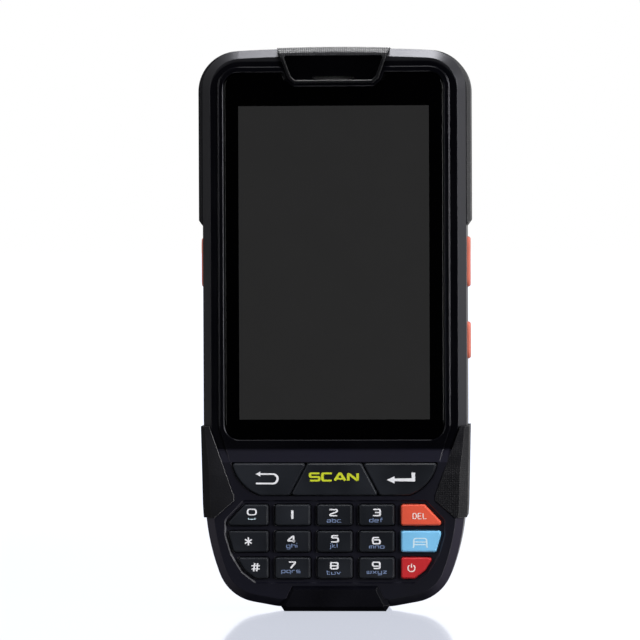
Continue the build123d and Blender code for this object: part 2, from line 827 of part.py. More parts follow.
# ---- where the parts in the head and the battery bay lie ----
battery_low_z = battery_centre_z - battery_height / 2
battery_high_z = battery_centre_z + battery_height / 2
bay_low_z = battery_low_z - battery_gap - bay_wall
bay_high_z = battery_high_z + battery_gap + bay_wall
bay_width = battery_width + 2 * (battery_gap + bay_wall)
handle_inner_y = handle_back_y - floor_wall
head_inner_y = head_back_y - floor_wall
door_floor_y = door_front_y - door_floor_gap
door_frame_y = door_floor_y - bay_wall
engine_high_z = top_z - wall - engine_drop
engine_back_y = board_back_y + engine_depth
window_seat_z = top_z - wall + window_ledge
window_y = board_back_y + engine_depth / 2
bezel_front_y = head_back_y - bezel_depth
lens_seat_y = head_back_y - lens_thickness - lens_sink
door_screw_z = door_high_z - door_screw_inset
door_screw_places = [(side * (door_width / 2 - door_screw_inset), door_screw_z) for side in (-1, 1)]
door_screw_head_y = handle_back_y - door_screw_head_height
door_screw_tip_y = door_front_y - door_screw_length
speaker_slot_spots = [(speaker_x, speaker_z + (index - (speaker_slots - 1) / 2) * speaker_slot_pitch)
                      for index in range(speaker_slots)]


def door_outline(gap):
    """The battery door's outline, grown by a gap: square at the hinge, rounded at the top."""
    with BuildSketch() as outline:
        with Locations((0, battery_centre_z)):
            Rectangle(door_width + 2 * gap, door_height + 2 * gap)
        fillet(outline.vertices().group_by(Axis.Y)[-1], door_radius + gap)
    return outline.sketch


def screw_seats(places):
    """Each place with the depth at which a screw head seats there."""
    return [(x, z, (head_back_y if z > head_high_z else handle_back_y) - screw_sink) for x, z in places]


# ---- rear cover: a shell with the swollen head, the battery bay and the screw bosses ----
with BuildPart() as rear_cover:
    add(rear_block(0, 0, split_y))
    add(rear_block(-wall, floor_wall, split_y), mode=Mode.SUBTRACT)
    # battery bay, the frame of its door and the bosses of the door screws
    with BuildSketch(depth_plane(handle_inner_y)):
        with Locations((0, (bay_low_z + bay_high_z) / 2)):
            Rectangle(bay_width, bay_high_z - bay_low_z)
    extrude(amount=handle_inner_y - bay_front_y)
    with BuildSketch(depth_plane(handle_inner_y)):
        add(door_outline(bay_wall))
    extrude(amount=handle_inner_y - door_frame_y)
    with BuildSketch(depth_plane(handle_inner_y)):
        with Locations(*door_screw_places):
            Circle(door_screw_radius + door_screw_clearance + door_boss_wall)
    extrude(amount=handle_inner_y - door_screw_tip_y + bay_wall)
    with BuildSketch(depth_plane(handle_back_y)):
        with Locations((0, battery_centre_z)):
            Rectangle(battery_width + 2 * battery_gap, battery_height + 2 * battery_gap)
    extrude(amount=handle_back_y - bay_back_y, mode=Mode.SUBTRACT)
    with BuildSketch(depth_plane(handle_back_y)):
        add(door_outline(door_gap))
    extrude(amount=handle_back_y - door_floor_y, mode=Mode.SUBTRACT)
    with BuildSketch(depth_plane(handle_back_y)):
        with Locations(*door_screw_places):
            Circle(door_screw_radius + door_screw_clearance)
    extrude(amount=handle_back_y - door_screw_tip_y + door_screw_clearance, mode=Mode.SUBTRACT)
    # a window in the bay's upper wall for the battery contacts
    with BuildSketch(depth_plane(contacts_back_y)):
        with Locations((0, bay_high_z - bay_wall / 2)):
            Rectangle(contacts_width + 2 * fit_gap, bay_wall)
    extrude(amount=contacts_back_y - bay_front_y, mode=Mode.SUBTRACT)
    # bosses and counterbored holes of the housing screws
    for x, z, seat_y in screw_seats(screw_places):
        with BuildSketch(depth_plane(seat_y)):
            add(screw_boss(x, z))
        extrude(amount=seat_y - split_y)
        with BuildSketch(depth_plane(split_y)):
            with Locations((x, z)):
                Circle(screw_radius + screw_play)
        extrude(amount=-(seat_y - split_y), mode=Mode.SUBTRACT)
        with BuildSketch(depth_plane(seat_y)):
            with Locations((x, z)):
                Circle(screw_head_radius + screw_play)
        extrude(amount=-reach, mode=Mode.SUBTRACT)
    # groove of the seal in the rim
    with BuildSketch(depth_plane(split_y + seal_depth)):
        add(housing_outline(-seal_inset))
        add(housing_outline(-seal_inset - seal_width), mode=Mode.SUBTRACT)
    extrude(amount=seal_depth, mode=Mode.SUBTRACT)
    # slots of the side buttons
    for button_name, side, button_z, button_length in side_buttons:
        with BuildSketch(Plane.YZ):
            with Locations((button_y, button_z)):
                RectangleRounded(button_width + 2 * button_gap, button_length + 2 * button_gap,
                                 button_width / 2 - button_edge + button_gap)
        extrude(amount=side * reach, mode=Mode.SUBTRACT)
    # reading window in the top, and the port in the underside
    with BuildSketch(Plane.XY.offset(window_seat_z)):
        with Locations((0, window_y)):
            Rectangle(window_width + 2 * fit_gap, window_depth + 2 * fit_gap)
    extrude(amount=reach, mode=Mode.SUBTRACT)
    with BuildSketch(Plane.XY.offset(engine_high_z)):
        with Locations((0, window_y)):
            Rectangle(window_width - 2 * window_ledge, window_depth - 2 * window_ledge)
    extrude(amount=reach, mode=Mode.SUBTRACT)
    with BuildSketch(Plane.XY):
        with Locations((0, port_y)):
            RectangleRounded(usb_width + 2 * usb_gap, usb_height + 2 * usb_gap, usb_height / 2)
    extrude(amount=port_depth, mode=Mode.SUBTRACT)
    with BuildSketch(Plane.XY):
        with Locations((0, port_y)):
            Rectangle(flap_width + 2 * flap_gap, flap_depth + 2 * flap_gap)
    extrude(amount=usb_low_z, mode=Mode.SUBTRACT)
    # camera, flash and loudspeaker openings in the back of the head
    with BuildSketch(depth_plane(head_back_y)):
        with Locations((camera_x, camera_z)):
            Circle(bezel_radius + fit_gap)
    extrude(amount=head_back_y - bezel_front_y, mode=Mode.SUBTRACT)
    with BuildSketch(depth_plane(head_back_y)):
        with Locations((camera_x, camera_z)):
            Circle(camera_barrel_radius + camera_gap)
        with Locations((camera_x, flash_z)):
            Circle(flash_radius + fit_gap)
        with Locations(*speaker_slot_spots):
            SlotOverall(speaker_slot_length, speaker_slot_width)
    extrude(amount=floor_wall, mode=Mode.SUBTRACT)
    for cover in covers_of_shell:
        add(cover, mode=Mode.SUBTRACT)
rear_cover.part.label = "rear_cover"
export_step(rear_cover.part, "parts/rear_cover.step")

with BuildPart() as housing_seal:
    with BuildSketch(depth_plane(split_y + seal_depth)):
        add(housing_outline(-seal_inset))
        add(housing_outline(-seal_inset - seal_width), mode=Mode.SUBTRACT)
    extrude(amount=seal_depth)
housing_seal.part.label = "housing_seal"
export_step(housing_seal.part, "parts/housing_seal.step")

# ---- housing screws: pan heads in the rear cover, shanks into the front cover ----
with BuildPart() as housing_screws:
    for x, z, seat_y in screw_seats(screw_places):
        with BuildSketch(depth_plane(seat_y)):
            with Locations((x, z)):
                Circle(screw_radius)
        extrude(amount=seat_y - split_y + screw_depth_in_front - screw_play)
        with BuildSketch(depth_plane(seat_y)):
            with Locations((x, z)):
                Circle(screw_head_radius)
        extrude(amount=-screw_head_height)
        with BuildSketch(depth_plane(seat_y + screw_head_height)):
            with Locations((x, z)):
                Rectangle(screw_head_radius, screw_slot)
                Rectangle(screw_slot, screw_head_radius)
        extrude(amount=screw_slot, mode=Mode.SUBTRACT)
housing_screws.part.label = "housing_screws"
export_step(housing_screws.part, "parts/housing_screws.step")

# ---- battery, its contacts and its door ----
with BuildPart() as battery:
    with BuildSketch(depth_plane(bay_back_y + battery_thickness)):
        with Locations((0, battery_centre_z)):
            Rectangle(battery_width, battery_height)
    extrude(amount=battery_thickness)
    fillet(battery.edges().filter_by(Axis.Z), battery_edge)
battery.part.label = "battery"
export_step(battery.part, "parts/battery.step")

with BuildPart() as battery_contacts:
    with BuildSketch(depth_plane(contacts_back_y - fit_gap)):
        with Locations((0, bay_high_z - bay_wall / 2)):
            Rectangle(contacts_width, bay_wall)
    extrude(amount=contacts_back_y - fit_gap - bay_front_y)
battery_contacts.part.label = "battery_contacts"
export_step(battery_contacts.part, "parts/battery_contacts.step")

with BuildPart() as battery_door:
    with BuildSketch(Plane.YZ.offset(-door_width / 2)):
        with Locations((door_axis_y, (door_axis_z + door_high_z) / 2)):
            Rectangle(door_thickness, door_high_z - door_axis_z)
        with Locations((door_axis_y, door_axis_z)):
            Circle(door_thickness / 2)
    extrude(amount=door_width)
    with BuildSketch(depth_plane(handle_back_y)):
        add(door_outline(0))
    extrude(amount=door_thickness, mode=Mode.INTERSECT)
    # finger ribs, cut as shallow grooves across the middle
    with BuildSketch(depth_plane(handle_back_y)):
        with Locations((0, battery_centre_z)):
            with GridLocations(0, door_rib_pitch, 1, door_rib_count):
                SlotOverall(door_width - 2 * door_rib_inset, door_rib_width)
    extrude(amount=door_rib_depth, mode=Mode.SUBTRACT)
    with BuildSketch(depth_plane(handle_back_y)):
        with Locations(*door_screw_places):
            Circle(door_screw_head_radius + door_screw_play)
    extrude(amount=door_screw_head_height, mode=Mode.SUBTRACT)
    with BuildSketch(depth_plane(handle_back_y)):
        with Locations(*door_screw_places):
            Circle(door_screw_radius + door_screw_play)
    extrude(amount=door_thickness, mode=Mode.SUBTRACT)
battery_door.part.label = "battery_door"
export_step(battery_door.part, "parts/battery_door.step")

for (x, z), side_name in zip(door_screw_places, ("left", "right")):
    with BuildPart() as door_screw:
        with BuildSketch(depth_plane(door_screw_head_y)):
            with Locations((x, z)):
                Circle(door_screw_head_radius)
        extrude(amount=-door_screw_head_height)
        with BuildSketch(depth_plane(handle_back_y)):
            with Locations((x, z)):
                Rectangle(2 * door_screw_head_radius, screw_slot)
        extrude(amount=screw_slot, mode=Mode.SUBTRACT)
        with BuildSketch(depth_plane(door_screw_head_y)):
            with Locations((x, z)):
                Circle(door_screw_radius)
        extrude(amount=door_screw_head_y - door_screw_tip_y)
    door_screw.part.label = f"{side_name}_door_screw"
    export_step(door_screw.part, f"parts/{side_name}_door_screw.step")

# ---- main board and what is mounted on it ----
with BuildPart() as main_board:
    with BuildSketch(depth_plane(board_back_y)):
        add(housing_outline(-wall - board_gap))
        with Locations((0, (board_low_z + board_high_z) / 2)):
            Rectangle(board_width, board_high_z - board_low_z, mode=Mode.INTERSECT)
    extrude(amount=board_thickness)
    # shielding cans over the processor, the memory and the radio
    with BuildSketch(depth_plane(board_front_y)):
        with Locations((0, motor_z)):
            Rectangle(can_width, can_width)
        with Locations((0, active_centre_z)):
            Rectangle(can_length, can_width)
        with Locations((0, battery_centre_z)):
            Rectangle(can_width, can_length)
    extrude(amount=can_height)
main_board.part.label = "main_board"
export_step(main_board.part, "parts/main_board.step")

with BuildPart() as scan_engine:
    with BuildSketch(depth_plane(engine_back_y)):
        with Locations((0, engine_high_z - engine_height / 2)):
            Rectangle(engine_width, engine_height)
    extrude(amount=engine_depth)
    with BuildSketch(Plane.XY.offset(engine_high_z)):
        with Locations((-engine_port_x, window_y)):
            Circle(engine_lens_radius)
        with Locations((engine_port_x, window_y)):
            Rectangle(engine_lamp_size, engine_lamp_size)
    extrude(amount=-engine_port_depth, mode=Mode.SUBTRACT)
scan_engine.part.label = "scan_engine"
export_step(scan_engine.part, "parts/scan_engine.step")

with BuildPart() as scan_window:
    with BuildSketch(Plane.XY.offset(window_seat_z)):
        with Locations((0, window_y)):
            Rectangle(window_width, window_depth)
    extrude(amount=window_thickness)
    chamfer(scan_window.faces().sort_by(Axis.Z)[-1].edges(), rim_edge)
scan_window.part.label = "scan_window"
export_step(scan_window.part, "parts/scan_window.step")

with BuildPart() as vibration_motor:
    with BuildSketch(depth_plane(board_back_y + motor_thickness)):
        with Locations((0, motor_z)):
            Circle(motor_radius)
    extrude(amount=motor_thickness)
vibration_motor.part.label = "vibration_motor"
export_step(vibration_motor.part, "parts/vibration_motor.step")

with BuildPart() as loudspeaker:
    with BuildSketch(depth_plane(head_inner_y)):
        with Locations((speaker_x, speaker_z)):
            RectangleRounded(speaker_width, speaker_height, speaker_corner)
    extrude(amount=speaker_depth)
loudspeaker.part.label = "loudspeaker"
export_step(loudspeaker.part, "parts/loudspeaker.step")

with BuildPart() as camera_module:
    with BuildSketch(depth_plane(board_back_y + camera_module_depth)):
        with Locations((camera_x, camera_z)):
            Rectangle(camera_size, camera_size)
    extrude(amount=camera_module_depth)
    with BuildSketch(depth_plane(bezel_front_y - fit_gap)):
        with Locations((camera_x, camera_z)):
            Circle(camera_barrel_radius)
    extrude(amount=bezel_front_y - fit_gap - board_back_y - camera_module_depth)
camera_module.part.label = "camera_module"
export_step(camera_module.part, "parts/camera_module.step")

with BuildPart() as camera_bezel:
    with BuildSketch(depth_plane(head_back_y)):
        with Locations((camera_x, camera_z)):
            Circle(bezel_radius)
            Circle(camera_barrel_radius - bezel_lip, mode=Mode.SUBTRACT)
    extrude(amount=head_back_y - bezel_front_y)
    chamfer(camera_bezel.faces().sort_by(Axis.Y)[-1].edges(), rim_edge)
    with BuildSketch(depth_plane(head_back_y)):
        with Locations((camera_x, camera_z)):
            Circle(lens_radius + fit_gap)
    extrude(amount=head_back_y - lens_seat_y, mode=Mode.SUBTRACT)
camera_bezel.part.label = "camera_bezel"
export_step(camera_bezel.part, "parts/camera_bezel.step")

with BuildPart() as camera_lens:
    with BuildSketch(depth_plane(lens_seat_y + lens_thickness)):
        with Locations((camera_x, camera_z)):
            Circle(lens_radius)
    extrude(amount=lens_thickness)
camera_lens.part.label = "camera_lens"
export_step(camera_lens.part, "parts/camera_lens.step")

with BuildPart() as flash_lens:
    with BuildSketch(depth_plane(head_back_y - rim_edge)):
        with Locations((camera_x, flash_z)):
            Circle(flash_radius)
    extrude(amount=floor_wall - rim_edge)
flash_lens.part.label = "flash_lens"
export_step(flash_lens.part, "parts/flash_lens.step")

with BuildPart() as usb_socket:
    with BuildSketch(Plane.XY.offset(usb_low_z)):
        with Locations((0, port_y)):
            RectangleRounded(usb_width, usb_height, usb_height / 2 - usb_shell)
            RectangleRounded(usb_width - 2 * usb_shell, usb_height - 2 * usb_shell,
                             usb_height / 2 - 2 * usb_shell, mode=Mode.SUBTRACT)
    extrude(amount=usb_length)
    with BuildSketch(Plane.XY.offset(usb_low_z + usb_length)):
        with Locations((0, port_y)):
            RectangleRounded(usb_width, usb_height, usb_height / 2 - usb_shell)
    extrude(amount=usb_shell)
    with BuildSketch(Plane.XY.offset(usb_low_z + usb_shell)):
        with Locations((0, port_y)):
            Rectangle(usb_tongue_width, usb_tongue)
    extrude(amount=usb_length - usb_shell)
usb_socket.part.label = "usb_socket"
export_step(usb_socket.part, "parts/usb_socket.step")
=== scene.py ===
import math

import bmesh
import bpy
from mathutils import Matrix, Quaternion, Vector


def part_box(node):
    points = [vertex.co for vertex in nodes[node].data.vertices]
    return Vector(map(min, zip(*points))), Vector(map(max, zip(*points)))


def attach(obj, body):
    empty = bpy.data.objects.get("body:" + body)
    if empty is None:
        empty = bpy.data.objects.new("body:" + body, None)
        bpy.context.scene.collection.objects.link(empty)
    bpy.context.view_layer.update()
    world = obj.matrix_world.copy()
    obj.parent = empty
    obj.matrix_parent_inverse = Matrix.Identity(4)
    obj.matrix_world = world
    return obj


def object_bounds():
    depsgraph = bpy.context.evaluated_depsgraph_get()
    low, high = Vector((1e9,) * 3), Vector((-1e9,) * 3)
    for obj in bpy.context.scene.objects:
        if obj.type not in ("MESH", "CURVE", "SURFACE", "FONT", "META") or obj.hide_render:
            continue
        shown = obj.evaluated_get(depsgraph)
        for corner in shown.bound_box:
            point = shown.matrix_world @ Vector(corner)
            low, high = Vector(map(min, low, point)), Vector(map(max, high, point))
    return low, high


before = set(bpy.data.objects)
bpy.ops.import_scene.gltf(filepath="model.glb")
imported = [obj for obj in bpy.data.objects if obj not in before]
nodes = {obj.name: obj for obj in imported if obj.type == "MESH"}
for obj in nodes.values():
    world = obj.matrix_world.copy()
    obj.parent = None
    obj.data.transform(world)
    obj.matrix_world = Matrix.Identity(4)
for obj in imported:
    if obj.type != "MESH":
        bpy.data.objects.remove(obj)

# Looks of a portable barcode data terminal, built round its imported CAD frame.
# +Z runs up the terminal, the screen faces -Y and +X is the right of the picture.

cad_low, cad_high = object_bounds()

MM = 0.001
KEY_FACE_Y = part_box("key_5")[0].y


# ---------------------------------------------------------------- shader building blocks
BEVEL_SAMPLES = 6
EDGE_MATCH = (0.99, 0.85)       # agreement of the rounded and the flat normal, from no edge to full edge
RIGHTWARD = (0.15, 0.50)        # a normal's X, from not facing right to facing right
UPWARD = (0.25, 0.60)           # a normal's Z, from not facing up to facing up
NOISE_SPAN = (0.3, 0.7)         # where most of a noise's values lie
FINE_DETAIL = 3.0               # detail of a fine grain


class Shader:
    """A material with its node tree, built one node at a time."""

    def __init__(self, name):
        self.material = bpy.data.materials.new(name)
        self.material.use_nodes = True
        self.tree = self.material.node_tree
        self.surface = self.tree.nodes["Principled BSDF"]
        self.place = self.node("TexCoord").outputs["Object"]

    def node(self, kind, inputs=None, **settings):
        made = self.tree.nodes.new("ShaderNode" + kind)
        for key, value in settings.items():
            setattr(made, key, value)
        for key, value in (inputs or {}).items():
            self.feed(made.inputs[key], value)
        return made

    def feed(self, socket, value):
        if isinstance(value, bpy.types.NodeSocket):
            self.tree.links.new(value, socket)
        else:
            socket.default_value = value

    def set(self, **values):
        """Sets sockets of the surface; underscores in a name stand for spaces."""
        for key, value in values.items():
            self.feed(self.surface.inputs[key.replace("_", " ")], value)

    def noise(self, scale, detail=2.0, stretch=None):
        place = self.place
        if stretch:
            place = self.node("Mapping", {"Vector": place, "Scale": stretch}).outputs[0]
        return self.node("TexNoise", {"Vector": place, "Scale": scale, "Detail": detail}).outputs["Fac"]

    def cells(self, scale, disorder=1.0):
        """Distance to the nearest of many dots, which stand in rows where the disorder is small."""
        dots = self.node("TexVoronoi", {"Vector": self.place, "Scale": scale, "Randomness": disorder})
        return dots.outputs["Distance"]

    def spread(self, value, low, high, start, end, smooth=False):
        """Maps the range low to high onto start to end, clamped."""
        kind = "SMOOTHSTEP" if smooth else "LINEAR"
        ranges = {"Value": value, "From Min": low, "From Max": high, "To Min": start, "To Max": end}
        return self.node("MapRange", ranges, interpolation_type=kind).outputs[0]

    def between(self, mask, off, on):
        """A value that goes from off to on as a mask goes from 0 to 1."""
        return self.spread(mask, 0, 1, off, on)

    def above(self, value, span):
        """A mask that rises from 0 to 1 over a span of the value."""
        return self.spread(value, *span, 0.0, 1.0)

    def below(self, value, span):
        """A mask that falls from 1 to 0 over a span of the value."""
        return self.spread(value, *span, 1.0, 0.0)

    def math(self, operation, first, second):
        return self.node("Math", {0: first, 1: second}, operation=operation).outputs[0]

    def product(self, first, second):
        return self.math("MULTIPLY", first, second)

    def most(self, first, second):
        return self.math("MAXIMUM", first, second)

    def size(self, value):
        return self.math("ABSOLUTE", value, 0.0)

    def without(self, mask):
        return self.math("SUBTRACT", 1.0, mask)

    def mix(self, share, first, second):
        return self.node("MixRGB", {0: share, 1: opaque(first), 2: opaque(second)}).outputs[0]

    def axis(self, name):
        """One coordinate of the surface in the shared frame, in metres."""
        return self.node("SeparateXYZ", {0: self.place}).outputs[name]

    def soft_edges(self, radius):
        """The normal rounded over the edges, and a mask that is 1 on the edges."""
        rounded_normal = self.node("Bevel", {"Radius": radius}, samples=BEVEL_SAMPLES).outputs[0]
        flat_normal = self.node("NewGeometry").outputs["Normal"]
        match = self.node("VectorMath", {0: rounded_normal, 1: flat_normal}, operation="DOT_PRODUCT")
        return rounded_normal, self.above(match.outputs["Value"], EDGE_MATCH)

    def faces(self, normal, way, span):
        """A mask that is 1 where the rounded normal leans well along one axis."""
        return self.above(self.node("SeparateXYZ", {0: normal}).outputs[way], span)

    def faces_either(self, normal, way, span):
        """The same for both ends of the axis."""
        backward = tuple(-bound for bound in span)
        return self.most(self.faces(normal, way, span), self.faces(normal, way, backward))

    def bump(self, height, depth, normal=None, strength=1.0):
        made = self.node("Bump", {"Height": height, "Distance": depth, "Strength": strength})
        if normal is not None:
            self.feed(made.inputs["Normal"], normal)
        return made.outputs[0]


def opaque(colour):
    """A colour with alpha; a socket passes through."""
    return colour if isinstance(colour, bpy.types.NodeSocket) else (*colour[:3], 1.0)


def lighter(colour, factor):
    return tuple(min(1.0, channel * factor) for channel in colour)


def raised(colour, amount):
    return tuple(channel + amount for channel in colour)


# ---------------------------------------------------------------- materials
TONE_SCALE, PATCH_SCALE = 70.0, 400.0
BODY_SPAN = (0.35, 0.65)        # noise values between which the tone changes
WORN_PATCHES = (0.40, 0.62)     # noise values between which an edge turns from fresh to worn
DOT_SPAN = (0.15, 0.50)         # distance from a dot's centre, in cells
DOT_SHINE = (1.4, 0.5)          # how a dot's centre and its surroundings scale the specular level
DOT_HIGHLIGHT = (1.0, 0.25)         # how much of the painted highlight lies on a dot's centre and round it


def moulded(name, colour, roughness, grain, depth, tone=0.25, gloss=0.06, edge=0.25 * MM, wear=2.0,
            cells=False, shine=0.3, edge_shine=0.7, painted_edge_light=0.03, side=0.0, top_gain=0.6, disorder=1.0):
    """Moulded plastic or rubber: fine grain or dots, slow changes of tone and gloss, rubbed soft edges.

    grain and depth are the texture's scale and relief; cells makes it dots, set out with some disorder.
    tone and gloss say how far colour and roughness wander. edge is the radius of the soft edges, which
    are wear times lighter in patches. shine and edge_shine are the specular levels of faces and edges,
    and top_gain scales both on what faces up. painted_edge_light is a painted highlight on edges that face right,
    side painted light over whole faces that face right."""
    shader = Shader(name)
    slow = shader.noise(TONE_SCALE)
    normal, edges = shader.soft_edges(edge)
    patchy = shader.product(edges, shader.above(shader.noise(PATCH_SCALE), WORN_PATCHES))
    body = shader.mix(shader.above(slow, BODY_SPAN), lighter(colour, 1 - tone), lighter(colour, 1 + tone))
    worn = shader.mix(patchy, body, lighter(colour, wear))
    # painted highlight: edges that face right get a lighter colour, as if lit by the lamps on the right
    rightward = shader.faces(normal, "X", RIGHTWARD)
    right_edge_highlight = shader.product(edges, rightward)
    # painted light: where side is set, whole faces that face right get a lighter colour
    if side:
        worn = shader.mix(rightward, worn, raised(colour, side))
    texture = shader.cells(grain, disorder) if cells else shader.noise(grain, FINE_DETAIL)
    shade = shader.between(shader.faces(normal, "Z", UPWARD), 1.0, top_gain)
    if cells:
        shade = shader.product(shade, shader.spread(texture, *DOT_SPAN, *DOT_SHINE))
    shader.set(
        Base_Color=shader.mix(right_edge_highlight, worn, raised(colour, painted_edge_light)),
        Roughness=shader.spread(slow, *NOISE_SPAN, roughness - gloss, roughness + gloss),
        Normal=shader.bump(texture, depth, normal),
        Specular_IOR_Level=shader.product(shader.between(edges, shine, edge_shine), shade),
    )
    return shader


def painted_top_highlight(shader, span, colour, grain, disorder):
    """Paints a highlight on a moulded surface over a span of heights toward its top end, dot by dot, where the
    overhead light falls.
    """
    base = shader.surface.inputs["Base Color"].links[0].from_socket
    dots = shader.spread(shader.cells(grain, disorder), *DOT_SPAN, *DOT_HIGHLIGHT)
    share = shader.product(shader.above(shader.axis("Z"), span), dots)
    shader.set(Base_Color=shader.mix(share, base, colour))
    return shader


def cover_material():
    """The front cover: gloss black round the screen, a satin outer bevel, a satin deck below the ramp."""
    glossy, satin, ramp_satin_painted_light = (0.0012, 0.0012, 0.0022), (0.0072, 0.0072, 0.0135), (0.0095, 0.0092, 0.0185)
    dull, rubbed, most_change = (0.002, 0.002, 0.003), (0.012, 0.012, 0.015), 0.35
    flank_painted_light, painted_highlight_colour, cool_tint = (0.030, 0.027, 0.040), (0.16, 0.16, 0.17), (0.91, 0.91, 1.0, 1.0)
    gloss_rough, satin_rough, rough_change = 0.20, 0.40, (-0.03, 0.04)
    gloss_shine, satin_shine, bevel_shine = 0.55, 0.3, 0.75
    flank_span, flank_to_flank, flank_shine = (0.25, 0.60), (-0.60, 0.60), (1.6, 0.50)
    deck_top, ramp_foot = (43.2 * MM, 44.2 * MM), (40.3 * MM, 40.6 * MM)
    corner_x, corner_z, bevel_start = 25.2 * MM, 140.7 * MM, (8.1 * MM, 8.6 * MM)
    recess_top, recess_side, left_half = (24.0 * MM, 25.5 * MM), (29.5 * MM, 30.5 * MM), (-1.0 * MM, 1.0 * MM)
    foot_side, foot_top = (14.0 * MM, 15.0 * MM), (9.0 * MM, 10.0 * MM)

    shader = Shader("cover_black")
    slow = shader.noise(60.0)
    normal, edges = shader.soft_edges(0.25 * MM)
    height = shader.axis("Z")
    across = shader.size(shader.axis("X"))

    # where: the deck with its ramp, and the bevel outside a rounded rectangle
    deck = shader.below(height, deck_top)
    ramp = shader.product(deck, shader.above(height, ramp_foot))
    past_x = shader.most(shader.math("SUBTRACT", across, corner_x), 0.0)
    past_z = shader.most(shader.math("SUBTRACT", height, corner_z), 0.0)
    past = shader.node("CombineXYZ", {"X": past_x, "Z": past_z}).outputs[0]
    distance = shader.node("VectorMath", {0: past}, operation="LENGTH").outputs["Value"]
    outer = shader.product(shader.above(distance, bevel_start), shader.without(deck))

    # colour: painted light on the deck's flanks, and a brighter painted highlight on right-facing edges and the
    # recess's left wall
    # the ramp's satin is lighter: painted light where the ramp faces up toward the overhead lamp
    body = shader.mix(ramp, shader.mix(deck, glossy, satin), ramp_satin_painted_light)
    toned = shader.mix(shader.spread(slow, *NOISE_SPAN, 0.0, most_change), body, dull)
    worn = shader.mix(shader.product(edges, most_change), toned, rubbed)
    flank = shader.faces_either(normal, "X", flank_span)
    flank_lit = shader.mix(shader.product(flank, deck), worn, flank_painted_light)
    in_recess = shader.product(shader.below(height, recess_top),
                               shader.product(shader.below(across, recess_side),
                                              shader.below(shader.axis("X"), left_half)))
    beside_foot = shader.most(shader.above(across, foot_side), shader.above(height, foot_top))
    lit = shader.product(shader.product(shader.most(edges, in_recess), beside_foot),
                         shader.faces(normal, "X", RIGHTWARD))

    # gloss: dimmer on what faces up inside the bevel, and on the deck from its left to its right flank
    rough = shader.math("ADD", shader.between(shader.most(deck, outer), gloss_rough, satin_rough),
                        shader.spread(slow, *NOISE_SPAN, *rough_change))
    grain = shader.product(shader.noise(2600.0, FINE_DETAIL), shader.between(deck, 0.25, 1.0))
    shine = shader.most(shader.between(shader.math("SUBTRACT", deck, edges), gloss_shine, satin_shine),
                        shader.between(outer, 0.0, bevel_shine))
    dimmed = shader.product(shader.faces(normal, "Z", UPWARD), shader.between(outer, 0.9, 0.0))
    leaning = shader.spread(shader.node("SeparateXYZ", {0: normal}).outputs["X"], *flank_to_flank, *flank_shine)
    deck_shine = shader.mix(deck, (1.0, 1.0, 1.0), leaning)
    shader.set(
        Base_Color=shader.mix(shader.product(lit, deck), flank_lit, painted_highlight_colour),
        Specular_Tint=cool_tint,
        Roughness=rough,
        Normal=shader.bump(grain, 0.012 * MM, normal),
        Specular_IOR_Level=shader.product(shader.product(shine, deck_shine), shader.without(dimmed)),
    )
    return shader


def glass_material():
    """Cover glass: black ink behind it, the dark grey display showing through its window, faint smears."""
    shader = Shader("screen_glass")
    half_width, half_height, middle_z, front_skin = 25.85 * MM, 42.5 * MM, 94.5 * MM, 0.05 * MM
    ink, dark_panel, pale_panel = (0.0004, 0.0004, 0.0005), (0.0240, 0.0240, 0.0240), (0.0262, 0.0262, 0.0262)
    smear_span, smear_rough, smear_stretch = (0.5, 0.75), (0.02, 0.07), (1.0, 1.0, 0.35)
    across = shader.size(shader.axis("X"))
    along = shader.size(shader.math("SUBTRACT", shader.axis("Z"), middle_z))
    inside = shader.product(shader.math("LESS_THAN", across, half_width),
                            shader.math("LESS_THAN", along, half_height))
    in_front = shader.math("LESS_THAN", shader.axis("Y"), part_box("touch_glass")[0].y + front_skin)
    window = shader.product(inside, in_front)
    panel = shader.mix(shader.noise(120.0, detail=4.0), dark_panel, pale_panel)
    smears = shader.spread(shader.noise(45.0, detail=5.0, stretch=smear_stretch), *smear_span, *smear_rough)
    normal = shader.soft_edges(0.3 * MM)[0]
    level = shader.faces_either(normal, "Z", (0.20, 0.50))      # edges that face up or down stay dim
    shader.set(
        Base_Color=shader.mix(window, ink, panel),
        Roughness=smears,
        Normal=shader.bump(shader.noise(30.0, detail=1.0), 0.004 * MM, normal),
        Specular_IOR_Level=shader.between(level, 0.5, 0.04),
        Coat_Weight=shader.between(level, 0.3, 0.0),
        Coat_Roughness=0.02,
    )
    return shader


def paint_material(name, colour, roughness=0.5):
    """Printed legend: nearly flat ink with slight fading."""
    shader = Shader(name)
    faded = shader.above(shader.noise(900.0, detail=4.0), NOISE_SPAN)
    shader.set(
        Base_Color=shader.mix(faded, lighter(colour, 0.9), colour),
        Roughness=roughness,
        Normal=shader.bump(shader.noise(5000.0), 0.004 * MM),
    )
    return shader


def metal_material(name, colour, roughness, scratch=3000.0):
    """Machined or pressed metal with fine scratches."""
    shader = Shader(name)
    lines = shader.noise(scratch, FINE_DETAIL, stretch=(1.0, 0.08, 1.0))      # long in depth
    normal, edges = shader.soft_edges(0.12 * MM)
    shader.set(
        Base_Color=shader.mix(edges, colour, lighter(colour, 1.3)),
        Metallic=1.0,
        Roughness=shader.spread(lines, *NOISE_SPAN, roughness - 0.08, roughness + 0.1),
        Normal=shader.bump(lines, 0.004 * MM, normal),
    )
    return shader


def board_material():
    """Printed circuit board: green mask over faint traces and gold pads."""
    shader = Shader("circuit_board")
    bricks = shader.node("TexBrick", {"Vector": shader.place, "Scale": 260.0}).outputs["Fac"]
    traces = shader.above(bricks, (0.4, 0.6))
    pads = shader.below(shader.cells(420.0), (0.10, 0.13))
    mask = shader.mix(traces, (0.004, 0.045, 0.018), (0.010, 0.080, 0.032))
    shader.set(
        Base_Color=shader.mix(pads, mask, (0.55, 0.40, 0.12)),
        Roughness=shader.between(pads, 0.42, 0.25),
        Normal=shader.bump(traces, 0.02 * MM),
    )
    return shader


